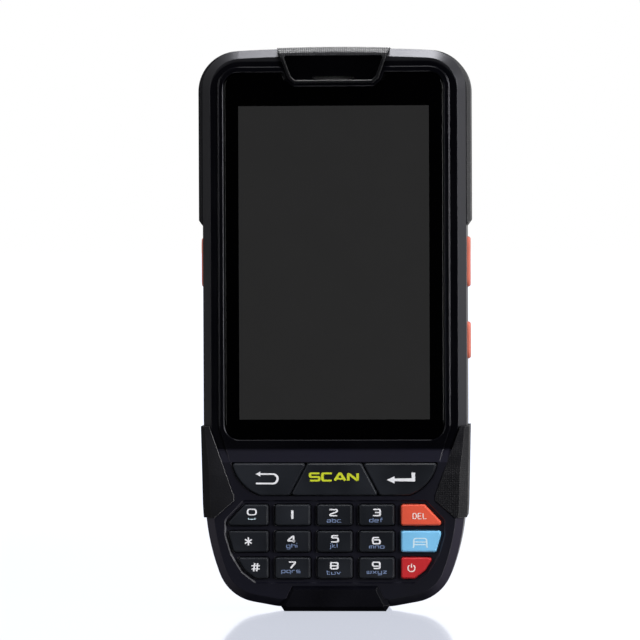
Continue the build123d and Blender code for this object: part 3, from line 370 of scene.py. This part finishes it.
def lens_material():
    """Camera glass: dark barrel rings under a violet-blue coating."""
    shader = Shader("camera_glass")
    low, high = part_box("camera_lens")
    centre = tuple((low + high) / 2)
    ring_radius = 2.2 * MM
    reach = shader.node("VectorMath", {0: shader.place, 1: centre}, operation="DISTANCE").outputs["Value"]
    pupil = shader.spread(reach, 1.0 * MM, 1.3 * MM, 1.0, 0.0, smooth=True)
    ring = shader.below(shader.size(shader.math("SUBTRACT", reach, ring_radius)), (0.15 * MM, 0.3 * MM))
    barrel = shader.mix(ring, (0.006, 0.006, 0.009), (0.035, 0.035, 0.045))
    shader.set(
        Base_Color=shader.mix(pupil, barrel, (0.012, 0.006, 0.045)),
        Roughness=shader.spread(shader.noise(80.0), *NOISE_SPAN, 0.02, 0.06),
        Coat_Weight=1.0,
        Coat_Roughness=0.02,
    )
    return shader


def reader_material():
    """Reading window: deep red acrylic."""
    shader = Shader("reader_window")
    depth = shader.above(shader.noise(90.0), NOISE_SPAN)
    shader.set(
        Base_Color=shader.mix(depth, (0.030, 0.002, 0.003), (0.060, 0.004, 0.006)),
        Roughness=shader.between(depth, 0.04, 0.09),
        Normal=shader.bump(shader.noise(25.0), 0.004 * MM, shader.soft_edges(0.2 * MM)[0]),
        Coat_Weight=0.6,
    )
    return shader


# The side pads and the right grip show dots in the photograph, the left grip doesn't.
RUBBER = (0.0072, 0.0072, 0.0095)
CAP_DOTS, CAP_DISORDER = 1750.0, 0.15
dotted = {"grain": 2000.0, "depth": 0.16 * MM, "cells": True, "disorder": 0.3, "wear": 1.6, "shine": 0.22,
          "painted_edge_light": 0.11}
# pads and right grip carry painted light on their right-facing faces; these rubbers, the left grip, the foot and the
# keys carry a painted highlight on right-facing edges
finish = {
    "cover": cover_material(),
    "shell": moulded("shell_black", (0.0070, 0.0068, 0.0085), 0.42, 2200.0, 0.03 * MM),
    "door": moulded("door_black", (0.0085, 0.0082, 0.0100), 0.46, 1900.0, 0.04 * MM),
    "gloss": moulded("gloss_black", (0.0010, 0.0010, 0.0014), 0.12, 900.0, 0.002 * MM, gloss=0.03, edge=0.15 * MM),
    "pad": moulded("pad_rubber", RUBBER, 0.55, side=0.045, **dotted),
    "right_grip": moulded("grip_rubber", RUBBER, 0.55, side=0.012, **dotted),
    "left_grip": moulded("left_grip_rubber", RUBBER, 0.55, 2000.0, 0.06 * MM, wear=1.6, shine=0.16, painted_edge_light=0.28),
    # the cap's top band: a painted highlight, lighter dot by dot toward its top, where the overhead lamp falls
    "cap": painted_top_highlight(moulded("cap_rubber", (0.0030, 0.0030, 0.0042), 0.42, CAP_DOTS, 0.20 * MM, edge=0.75 * MM,
                           cells=True, wear=1.6, shine=0.15, edge_shine=0.45, top_gain=6.5,
                           disorder=CAP_DISORDER),
                   (149.4 * MM, 151.4 * MM), (0.15, 0.15, 0.16), CAP_DOTS, CAP_DISORDER),
    "foot": moulded("foot_rubber", (0.0026, 0.0026, 0.0044), 0.55, 1500.0, 0.08 * MM, wear=1.3, shine=0.06,
                    edge_shine=0.1, painted_edge_light=0.10, top_gain=0.05),
    "seal": moulded("seal_rubber", (0.012, 0.012, 0.013), 0.6, 2500.0, 0.02 * MM),
    "key": moulded("key_plastic", (0.0118, 0.0136, 0.0182), 0.38, 2600.0, 0.012 * MM, wear=1.5, edge=0.3 * MM,
                   edge_shine=0.35, top_gain=0.45),
    "key_orange": moulded("key_orange", (0.77, 0.098, 0.050), 0.40, 2600.0, 0.010 * MM, tone=0.05, wear=1.15),
    "key_red": moulded("key_red", (0.53, 0.020, 0.025), 0.40, 2600.0, 0.010 * MM, tone=0.05, wear=1.2),
    "key_blue": moulded("key_blue", (0.210, 0.555, 0.870), 0.40, 2600.0, 0.010 * MM, tone=0.05, wear=1.15),
    "button": moulded("button_orange", (0.70, 0.185, 0.125), 0.45, 1800.0, 0.03 * MM, tone=0.06, wear=1.1),
    "silicone": moulded("silicone_grey", (0.25, 0.26, 0.27), 0.55, 1500.0, 0.02 * MM, tone=0.08, wear=1.1),
    "module": moulded("module_black", (0.018, 0.018, 0.020), 0.5, 1600.0, 0.02 * MM),
    "battery": moulded("battery_case", (0.020, 0.021, 0.024), 0.38, 1700.0, 0.02 * MM),
    "panel": moulded("display_panel", (0.022, 0.022, 0.022), 0.3, 900.0, 0.004 * MM),
    "flash": moulded("flash_lens", (0.86, 0.80, 0.55), 0.2, 1800.0, 0.03 * MM, tone=0.05, wear=1.05, cells=True),
    "glass": glass_material(),
    "lens": lens_material(),
    "reader": reader_material(),
    "board": board_material(),
    "steel": metal_material("screw_steel", (0.36, 0.36, 0.38), 0.32),
    "dome": metal_material("dome_steel", (0.62, 0.62, 0.63), 0.25),
    "gold": metal_material("contact_gold", (0.90, 0.62, 0.22), 0.25),
    "white": paint_material("legend_white", (0.90, 0.90, 0.94)),
    "pale": paint_material("legend_pale", (0.95, 0.80, 0.76)),
    "sky": paint_material("legend_sky", (0.72, 0.90, 1.0)),
    "blue": paint_material("legend_blue", (0.200, 0.275, 0.470)),
    "lime": paint_material("legend_lime", (0.66, 0.72, 0.020)),
    "olive": paint_material("legend_olive", (0.10, 0.11, 0.004)),
}

worn_by = {
    "cover": ["front_cover"],
    "shell": ["rear_cover", "camera_bezel"],
    "door": ["battery_door"],
    "gloss": ["top_cap_plate"],
    "pad": ["left_bumper_pad", "right_bumper_pad"],
    "right_grip": ["right_grip"],
    "left_grip": ["left_grip"],
    "cap": ["top_cap"],
    "foot": ["bottom_bumper", "port_cover"],
    "seal": ["housing_seal", "glass_gasket"],
    "key_orange": ["key_delete"],
    "key_red": ["key_power"],
    "key_blue": ["key_menu"],
    "button": ["left_scan_button", "right_scan_button", "right_side_button"],
    "silicone": ["keypad_mat"],
    "module": ["receiver", "scan_engine", "loudspeaker", "camera_module", "side_switches"],
    "battery": ["battery"],
    "panel": ["display_panel"],
    "flash": ["flash_lens"],
    "glass": ["touch_glass"],
    "lens": ["camera_lens"],
    "reader": ["scan_window"],
    "board": ["keypad_board", "main_board"],
    "steel": ["earpiece_mesh", "vibration_motor", "usb_socket", "housing_screws", "left_door_screw",
              "right_door_screw"],
    "dome": ["dome_sheet"],
    "gold": ["battery_contacts"],
}
finish_of = {node: key for key, worn in worn_by.items() for node in worn}
for node_name, node in nodes.items():
    look = finish[finish_of.get(node_name, "key")].material
    node.data.materials.clear()
    node.data.materials.append(look)


# ---------------------------------------------------------------- legends printed on the keys
# A glyph is a few strokes on a grid; "08-48" runs from column 0, row 8 to column 4, row 8.
# Small letters stand on row 2. A stroke that ends where it starts is closed.
GLYPHS = {
    "0": ["00-80-88-08-00"], "1": ["00-08"], "2": ["07-08-88-85-02-00-80"], "3": ["08-88-80-00", "24-84"],
    "4": ["70-78-68-02-92"], "5": ["88-18-15-85-80-00"], "6": ["78-08-00-80-85-05"], "7": ["08-88-20"],
    "8": ["00-80-84-04-00", "04-08-88-84"], "9": ["10-80-88-08-03-83"],
    "a": ["06-86-82-02-04-84"], "b": ["08-02-82-86-06"], "c": ["86-06-02-82"], "d": ["88-82-02-06-86"],
    "e": ["82-02-06-86-84-04"], "f": ["68-28-22", "06-66"], "g": ["82-02-06-86-80-00"], "h": ["08-02", "06-86-82"],
    "i": ["06-02", "09-08"], "j": ["26-20-00", "29-28"], "k": ["08-02", "66-04-72"], "l": ["08-02"],
    "m": ["02-06-96-92", "46-42"], "n": ["02-06-86-82"], "o": ["02-82-86-06-02"], "p": ["00-06-86-82-02"],
    "q": ["80-86-06-02-82"], "r": ["02-06-66"], "s": ["86-06-04-84-82-02"], "t": ["08-02-62", "06-66"],
    "u": ["06-02-82-86"], "v": ["06-42-86"], "w": ["06-02-92-96", "46-42"], "x": ["06-82", "02-86"],
    "y": ["06-02-82", "86-80-00"], "z": ["06-86-02-82"],
    "D": ["00-50-82-86-58-08-00"], "E": ["80-00-08-88", "04-74"], "L": ["08-00-80"],
    "S": ["88-08-04-84-80-00"], "C": ["88-08-00-80"], "A": ["00-48-58-90", "22-72"], "N": ["00-08-80-88"],
}
GRID = 8
CORNER_STEPS = 4
CORNER_SHARE = 0.45                 # a corner's curve takes up at most this share of each side
LEVEL_WEIGHT, UPRIGHT_EXTRA = 0.80, 0.35       # upright strokes are bolder than level ones
SHARPEST = 0.5                      # keeps the mitre of a sharp corner short
SAME_PLACE = 1e-6
PRINT_RISE, PRINT_SINK = 0.03 * MM, 0.02 * MM
LAYER_STEP = 0.002 * MM             # strokes that cross lie in layers


def grid_points(stroke):
    return [Vector((int(spot[0]), int(spot[1]))) for spot in stroke.split("-")]


def text_strokes(text, width, height, centre, gap=0.0):
    """The strokes of a word, in millimetres, centred on a point; width and height are one letter's."""
    strokes, pen = [], 0.0
    for letter in text:
        points = [grid_points(stroke) for stroke in GLYPHS[letter]]
        for stroke in points:
            strokes.append([Vector((pen + spot.x * width / GRID, spot.y * height / GRID)) for spot in stroke])
        pen += max(spot.x for stroke in points for spot in stroke) * width / GRID + gap
    rows = [spot.y for stroke in strokes for spot in stroke]
    middle = Vector(((pen - gap) / 2, (max(rows) + min(rows)) / 2))
    return [[spot - middle + Vector(centre) for spot in stroke] for stroke in strokes]


def line(*spots):
    return [Vector(spot) for spot in spots]


def arc_stroke(centre, radius, start, end, steps=20):
    angles = [math.radians(start + (end - start) * step / steps) for step in range(steps + 1)]
    return line(*((centre[0] + radius * math.cos(a), centre[1] + radius * math.sin(a)) for a in angles))


def rounded(points, radius, closed):
    """The polyline with its corners turned into short curves."""
    curve = []
    for index, corner in enumerate(points):
        if not closed and index in (0, len(points) - 1):
            curve.append(corner)
            continue
        before, after = points[index - 1], points[(index + 1) % len(points)]
        start = corner + (before - corner).normalized() * min(radius, CORNER_SHARE * (before - corner).length)
        end = corner + (after - corner).normalized() * min(radius, CORNER_SHARE * (after - corner).length)
        for step in range(CORNER_STEPS + 1):
            share = step / CORNER_STEPS
            curve.append(start.lerp(corner, share).lerp(corner.lerp(end, share), share))
    return curve


def ribbon(mesh, points, width, closed, front, back):
    """Adds one stroke as a closed solid between two depths."""
    rings = []
    for index, point in enumerate(points):
        steps = []
        if closed or index > 0:
            steps.append((point - points[index - 1]).normalized())
        if closed or index < len(points) - 1:
            steps.append((points[(index + 1) % len(points)] - point).normalized())
        along = (steps[0] + steps[-1]).normalized()
        breadth = width * (LEVEL_WEIGHT + UPRIGHT_EXTRA * abs(along.y))
        side = Vector((-along.y, along.x)) * breadth / 2 / max(SHARPEST, along.dot(steps[0]))
        corners = ((point + side, front), (point - side, front), (point - side, back), (point + side, back))
        rings.append([mesh.verts.new((spot.x * MM, depth, spot.y * MM)) for spot, depth in corners])
    for index in range(len(rings) if closed else len(rings) - 1):
        first, second = rings[index], rings[(index + 1) % len(rings)]
        for here in range(len(first)):
            beside = (here + 1) % len(first)
            mesh.faces.new((first[here], first[beside], second[beside], second[here]))
    if not closed:
        mesh.faces.new(rings[0])
        mesh.faces.new(list(reversed(rings[-1])))


def plate(mesh, points, front, back):
    """Adds a filled outline as a closed solid between two depths."""
    faces = [[mesh.verts.new((spot.x * MM, depth, spot.y * MM)) for spot in points] for depth in (front, back)]
    mesh.faces.new(faces[0])
    mesh.faces.new(list(reversed(faces[1])))
    for index in range(len(points)):
        after = (index + 1) % len(points)
        mesh.faces.new((faces[0][index], faces[1][index], faces[1][after], faces[0][after]))


def legend(name, key, look, strokes, width, corner=0.0, filled=(), lift=0.0):
    """Printed strokes and filled shapes on one key, riding on its body."""
    mesh = bmesh.new()
    back = KEY_FACE_Y + PRINT_SINK
    front = KEY_FACE_Y - PRINT_RISE - lift
    for index, stroke in enumerate(strokes):
        closed = (stroke[0] - stroke[-1]).length < SAME_PLACE
        points = rounded(stroke[:-1] if closed else stroke, corner, closed) if corner else stroke
        ribbon(mesh, points, width, closed, front + index * LAYER_STEP, back)
    for index, outline in enumerate(filled):
        plate(mesh, [Vector(spot) for spot in outline], front - (index + 1) * LAYER_STEP, back)
    bmesh.ops.recalc_face_normals(mesh, faces=mesh.faces)
    data = bpy.data.meshes.new(name)
    mesh.to_mesh(data)
    mesh.free()
    data.materials.append(finish[look].material)
    piece = bpy.data.objects.new(name, data)
    bpy.context.scene.collection.objects.link(piece)
    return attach(piece, key)


# All sizes and places of legends are in millimetres; a place is x and z.
DIGIT_WIDTH, DIGIT_HEIGHT, DIGIT_STROKE, DIGIT_CORNER = 1.90, 1.68, 0.42, 0.42
LETTER_WIDTH, LETTER_HEIGHT, LETTER_STROKE, LETTER_CORNER, LETTER_GAP = 0.98, 1.40, 0.19, 0.2, 0.44
# key, digit, its centre, the small letters below it, their centre
DIGIT_KEYS = (
    ("key_2", "2", (-0.25, 26.83), "abc", (-0.13, 24.75)),
    ("key_3", "3", (11.40, 26.87), "def", (11.27, 24.8)),
    ("key_4", "4", (-11.75, 19.6), "ghi", (-11.65, 17.8)),
    ("key_5", "5", (0.0, 19.75), "jkl", (-0.32, 17.8)),
    ("key_6", "6", (11.33, 19.25), "mno", (11.41, 17.5)),
    ("key_7", "7", (-11.5, 12.6), "pqrs", (-11.93, 10.7)),
    ("key_8", "8", (-0.12, 12.45), "tuv", (-0.25, 10.6)),
    ("key_9", "9", (11.27, 12.55), "wxyz", (11.44, 10.5)),
)
for key, digit, digit_place, letters, letter_place in DIGIT_KEYS:
    strokes = text_strokes(digit, DIGIT_WIDTH, DIGIT_HEIGHT, centre=digit_place)
    legend(f"legend_{digit}", key, "white", strokes, DIGIT_STROKE, corner=DIGIT_CORNER)
    strokes = text_strokes(letters, LETTER_WIDTH, LETTER_HEIGHT, centre=letter_place, gap=LETTER_GAP)
    legend(f"legend_{letters}", key, "blue", strokes, LETTER_STROKE, corner=LETTER_CORNER)

# one alone on its key, and zero with its space mark
one = text_strokes("1", width=1.0, height=2.3, centre=(-11.45, 26.3))
legend("legend_1", "key_1", "white", one, width=0.54)
zero = text_strokes("0", width=2.3, height=1.50, centre=(-22.45, 27.0))
legend("legend_0", "key_0", "white", zero, width=0.40, corner=0.7)
mark_left, mark_right, mark_top, mark_low = -23.4, -21.6, 25.4, 25.05
space_mark = line((mark_left, mark_top), (mark_left, mark_low), (mark_right, mark_low), (mark_right, mark_top))
legend("legend_space", "key_0", "sky", [space_mark], width=0.16)

# star and hash
SIGN_STROKE = 0.36
star_x, star_z, star_arm = -23.42, 19.03, 1.08
star_arms = [(star_arm * math.cos(angle), star_arm * math.sin(angle)) for angle in map(math.radians, (90, 30, -30))]
star = [line((star_x - x, star_z - z), (star_x + x, star_z + z)) for x, z in star_arms]
legend("legend_star", "key_star", "white", star, SIGN_STROKE)
hash_x, hash_z, hash_arm, hash_gap, hash_lean = -21.47, 12.0, 1.12, 0.42, 0.16
hash_bars = [line((hash_x - hash_arm, hash_z + shift), (hash_x + hash_arm, hash_z + shift))
             for shift in (-hash_gap, hash_gap)]
hash_bars += [line((hash_x + shift - hash_lean, hash_z - hash_arm), (hash_x + shift + hash_lean, hash_z + hash_arm))
              for shift in (-hash_gap, hash_gap)]
legend("legend_hash", "key_hash", "white", hash_bars, SIGN_STROKE)

# delete, menu and power
delete = text_strokes("DEL", width=0.92, height=1.50, centre=(23.1, 25.9), gap=0.46)
legend("legend_delete", "key_delete", "pale", delete, width=0.24, corner=0.2)
menu_x, menu_z = 23.2, 18.65
menu_outline = ((-2.0, -1.3), (-1.75, -1.1), (-1.75, 1.2), (1.75, 1.2), (1.75, -1.1), (2.0, -1.3))
menu_bar, menu_bar_heights = 1.6, (0.22, -0.52)
menu = [line(*((menu_x + x, menu_z + z) for x, z in menu_outline))]
menu += [line((menu_x - menu_bar, menu_z + z), (menu_x + menu_bar, menu_z + z)) for z in menu_bar_heights]
legend("legend_menu", "key_menu", "sky", menu, width=0.33, corner=0.7)
power_x, power_z, power_radius, power_stem = 20.8, 11.8, 0.95, (0.15, 1.2)
power_gap = 35                      # degrees each side of the stem
power = [arc_stroke((power_x, power_z), power_radius, 90 + power_gap, 450 - power_gap),
         line(*((power_x, power_z + rise) for rise in power_stem))]
legend("legend_power", "key_power", "pale", power, width=0.28)

# back arrow: a bar with a head, a half turn and the return bar
back_top, back_low, back_left, back_turn = 37.3, 34.74, -21.3, -16.7
back_radius = (back_top - back_low) / 2
back_curve = arc_stroke((back_turn, (back_top + back_low) / 2), back_radius, 90, -90, steps=12)
back_bar, back_tip, back_barb, head_reach = back_left + 0.9, back_left - 0.1, back_left + 1.2, 0.68
back = line((back_bar, back_top)) + back_curve + line((back_left, back_low))
back_head = [(back_tip, back_top), (back_barb, back_top + head_reach), (back_barb, back_top - head_reach)]
legend("legend_back", "key_back", "white", [back], width=0.55, filled=[back_head])

# enter arrow: a stub, a bar and a head
enter_left, enter_right, enter_bar, enter_top = 14.2, 21.4, 35.7, 37.65
enter_end, enter_barb, head_reach = enter_left + 1.6, enter_left + 2.1, 1.0
enter = line((enter_right, enter_top), (enter_right, enter_bar), (enter_end, enter_bar))
enter_head = [(enter_left, enter_bar), (enter_barb, enter_bar + head_reach), (enter_barb, enter_bar - head_reach)]
legend("legend_enter", "key_enter", "white", [enter], width=0.86, filled=[enter_head])

# SCAN, with a thin dark outline just behind it
scan = text_strokes("SCAN", width=2.52, height=1.95, centre=(-0.15, 36.5), gap=0.83)
SCAN_CORNER = 0.45
legend("legend_scan_outline", "key_scan", "olive", scan, width=0.78, corner=SCAN_CORNER)
legend("legend_scan", "key_scan", "lime", scan, width=0.58, corner=SCAN_CORNER, lift=0.015 * MM)


# ---------------------------------------------------------------- floor, backdrop and light
FLOOR_HALF = 30.0                   # metres
FLOOR_ROUGH = (0.05, 0.07)
FLOOR_GLOW, GLOW_STRENGTH = (0.84, 0.88, 1.0, 1.0), 1.3
GLOW_NEAR, GLOW_FAR = (0.20, 0.52), (0.80, 1.0)     # distance from the terminal, share of the glow
DARK_FRONT = (-0.05, 0.10)          # Y over which the dark front half of the floor ends


def make_floor():
    """A pale gloss table: white to the camera, with a faint reflection and the shadow kept.
    What shines in the terminal sees its front half dark, as in a dark room."""
    data = bpy.data.meshes.new("floor")
    mesh = bmesh.new()
    corners = ((-FLOOR_HALF, -FLOOR_HALF), (FLOOR_HALF, -FLOOR_HALF), (FLOOR_HALF, FLOOR_HALF),
               (-FLOOR_HALF, FLOOR_HALF))
    mesh.faces.new([mesh.verts.new((x, y, 0)) for x, y in corners])
    mesh.to_mesh(data)
    mesh.free()
    floor = bpy.data.objects.new("floor", data)
    bpy.context.scene.collection.objects.link(floor)

    shader = Shader("floor_white")
    shader.set(Base_Color=(0.95, 0.95, 0.96, 1.0), Metallic=0.85,
               Roughness=shader.spread(shader.noise(3.0), *NOISE_SPAN, *FLOOR_ROUGH))
    glow = shader.node("Emission", {"Color": FLOOR_GLOW, "Strength": GLOW_STRENGTH})
    seen = shader.node("LightPath").outputs["Is Camera Ray"]
    away = shader.node("VectorMath", {0: shader.place}, operation="LENGTH").outputs["Value"]
    glow_share = shader.spread(away, GLOW_NEAR[0], GLOW_FAR[0], GLOW_NEAR[1], GLOW_FAR[1], smooth=True)
    lit = shader.node("MixShader", {0: shader.product(seen, glow_share), 1: shader.surface.outputs[0],
                                    2: glow.outputs[0]})
    in_front = shader.spread(shader.axis("Y"), *DARK_FRONT, 1.0, 0.0, smooth=True)
    dark = shader.node("BsdfDiffuse", {"Color": (0.0, 0.0, 0.0, 1.0)})
    blend = shader.node("MixShader", {0: shader.product(shader.without(seen), in_front), 1: lit.outputs[0],
                                      2: dark.outputs[0]})
    shader.tree.links.new(blend.outputs[0], shader.tree.nodes["Material Output"].inputs["Surface"])
    data.materials.append(shader.material)


MAP_INPUTS = ("From Min", "From Max", "To Min", "To Max")
BACKDROP_DEPTH = (-0.55, 0.25, 0.0, 1.0)        # a direction's Y, and how bright the backdrop is there
BACKDROP_SIDE = (-1.0, 0.0, 0.20, 0.95)         # the same for its X
ROOM_FILL = (0.45, 0.45, 0.46, 1.0)


def make_world():
    """White to the camera, even fill for the rest; in shiny surfaces bright behind the terminal and dark in front."""
    world = bpy.data.worlds.new("studio")
    bpy.context.scene.world = world
    world.use_nodes = True
    tree = world.node_tree

    def add(kind, sources, **settings):
        """Adds a node; a source is a socket to link or a value to set."""
        made = tree.nodes.new("ShaderNode" + kind)
        for key, value in settings.items():
            setattr(made, key, value)
        for key, source in sources.items():
            if isinstance(source, bpy.types.NodeSocket):
                tree.links.new(source, made.inputs[key])
            else:
                made.inputs[key].default_value = source
        return made.outputs

    path = add("LightPath", {})
    direction = add("SeparateXYZ", {0: add("TexCoord", {})["Generated"]})
    depth = add("MapRange", {"Value": direction["Y"], **dict(zip(MAP_INPUTS, BACKDROP_DEPTH))},
                interpolation_type="SMOOTHSTEP")
    side = add("MapRange", {"Value": direction["X"], **dict(zip(MAP_INPUTS, BACKDROP_SIDE))})
    backdrop = add("Math", {0: depth[0], 1: side[0]}, operation="MULTIPLY")
    mirrored = add("Math", {0: path["Is Glossy Ray"], 1: path["Is Transmission Ray"]}, operation="MAXIMUM")
    unseen = add("MixRGB", {0: mirrored[0], 1: ROOM_FILL, 2: backdrop[0]})
    colour = add("MixRGB", {0: path["Is Camera Ray"], 1: unseen[0], 2: (1, 1, 1, 1)})
    tree.links.new(colour[0], tree.nodes["Background"].inputs["Color"])


# name, place in metres, width and height in metres, watts
LIGHTS = (
    ("overhead", (0.08, 0.0, 0.95), (0.55, 0.40), 8.1),
    ("right_key", (0.85, -0.80, 0.30), (0.4, 0.6), 10.6),
    ("left_fill", (-0.85, -0.80, 0.25), (0.4, 0.6), 2.5),
    ("right_strip", (1.0, -0.10, 0.25), (0.25, 0.70), 0.60),
)


def softbox(name, place, target, size, power):
    light = bpy.data.lights.new(name, "AREA")
    light.shape, light.energy = "RECTANGLE", power
    light.size, light.size_y = size
    lamp = bpy.data.objects.new(name, light)
    bpy.context.scene.collection.objects.link(lamp)
    lamp.location = place
    lamp.rotation_euler = (Vector(target) - Vector(place)).to_track_quat("-Z", "Y").to_euler()


make_floor()
make_world()
for light_name, light_place, light_size, watts in LIGHTS:
    softbox(light_name, light_place, (cad_low + cad_high) / 2, light_size, watts)

# ---------------------------------------------------------------- camera
# The picture is framed on a point a little left of and above the terminal's middle.
AIM = Vector((-4.5, 0.0, 78.8)) * MM
FIELD = 174.9 * MM                  # height of the picture at that point
DISTANCE = 1.3
AZIMUTH, ELEVATION, ROLL = math.radians(3.5), math.radians(1.0), math.radians(-0.22)
SENSOR = 36.0                       # millimetres
lens_data = bpy.data.cameras.new("camera")
lens_data.sensor_width = SENSOR
lens_data.lens = SENSOR * DISTANCE / FIELD
lens_data.clip_start, lens_data.clip_end = 0.01, 200.0
camera = bpy.data.objects.new("camera", lens_data)
bpy.context.scene.collection.objects.link(camera)
bpy.context.scene.camera = camera
toward_camera = Vector((math.sin(AZIMUTH) * math.cos(ELEVATION), -math.cos(AZIMUTH) * math.cos(ELEVATION),
                        math.sin(ELEVATION)))
camera.location = AIM + toward_camera * DISTANCE
camera.rotation_euler = ((-toward_camera).to_track_quat("-Z", "Y") @ Quaternion((0, 0, 1), ROLL)).to_euler()

bpy.context.scene.view_settings.view_transform = "Standard"
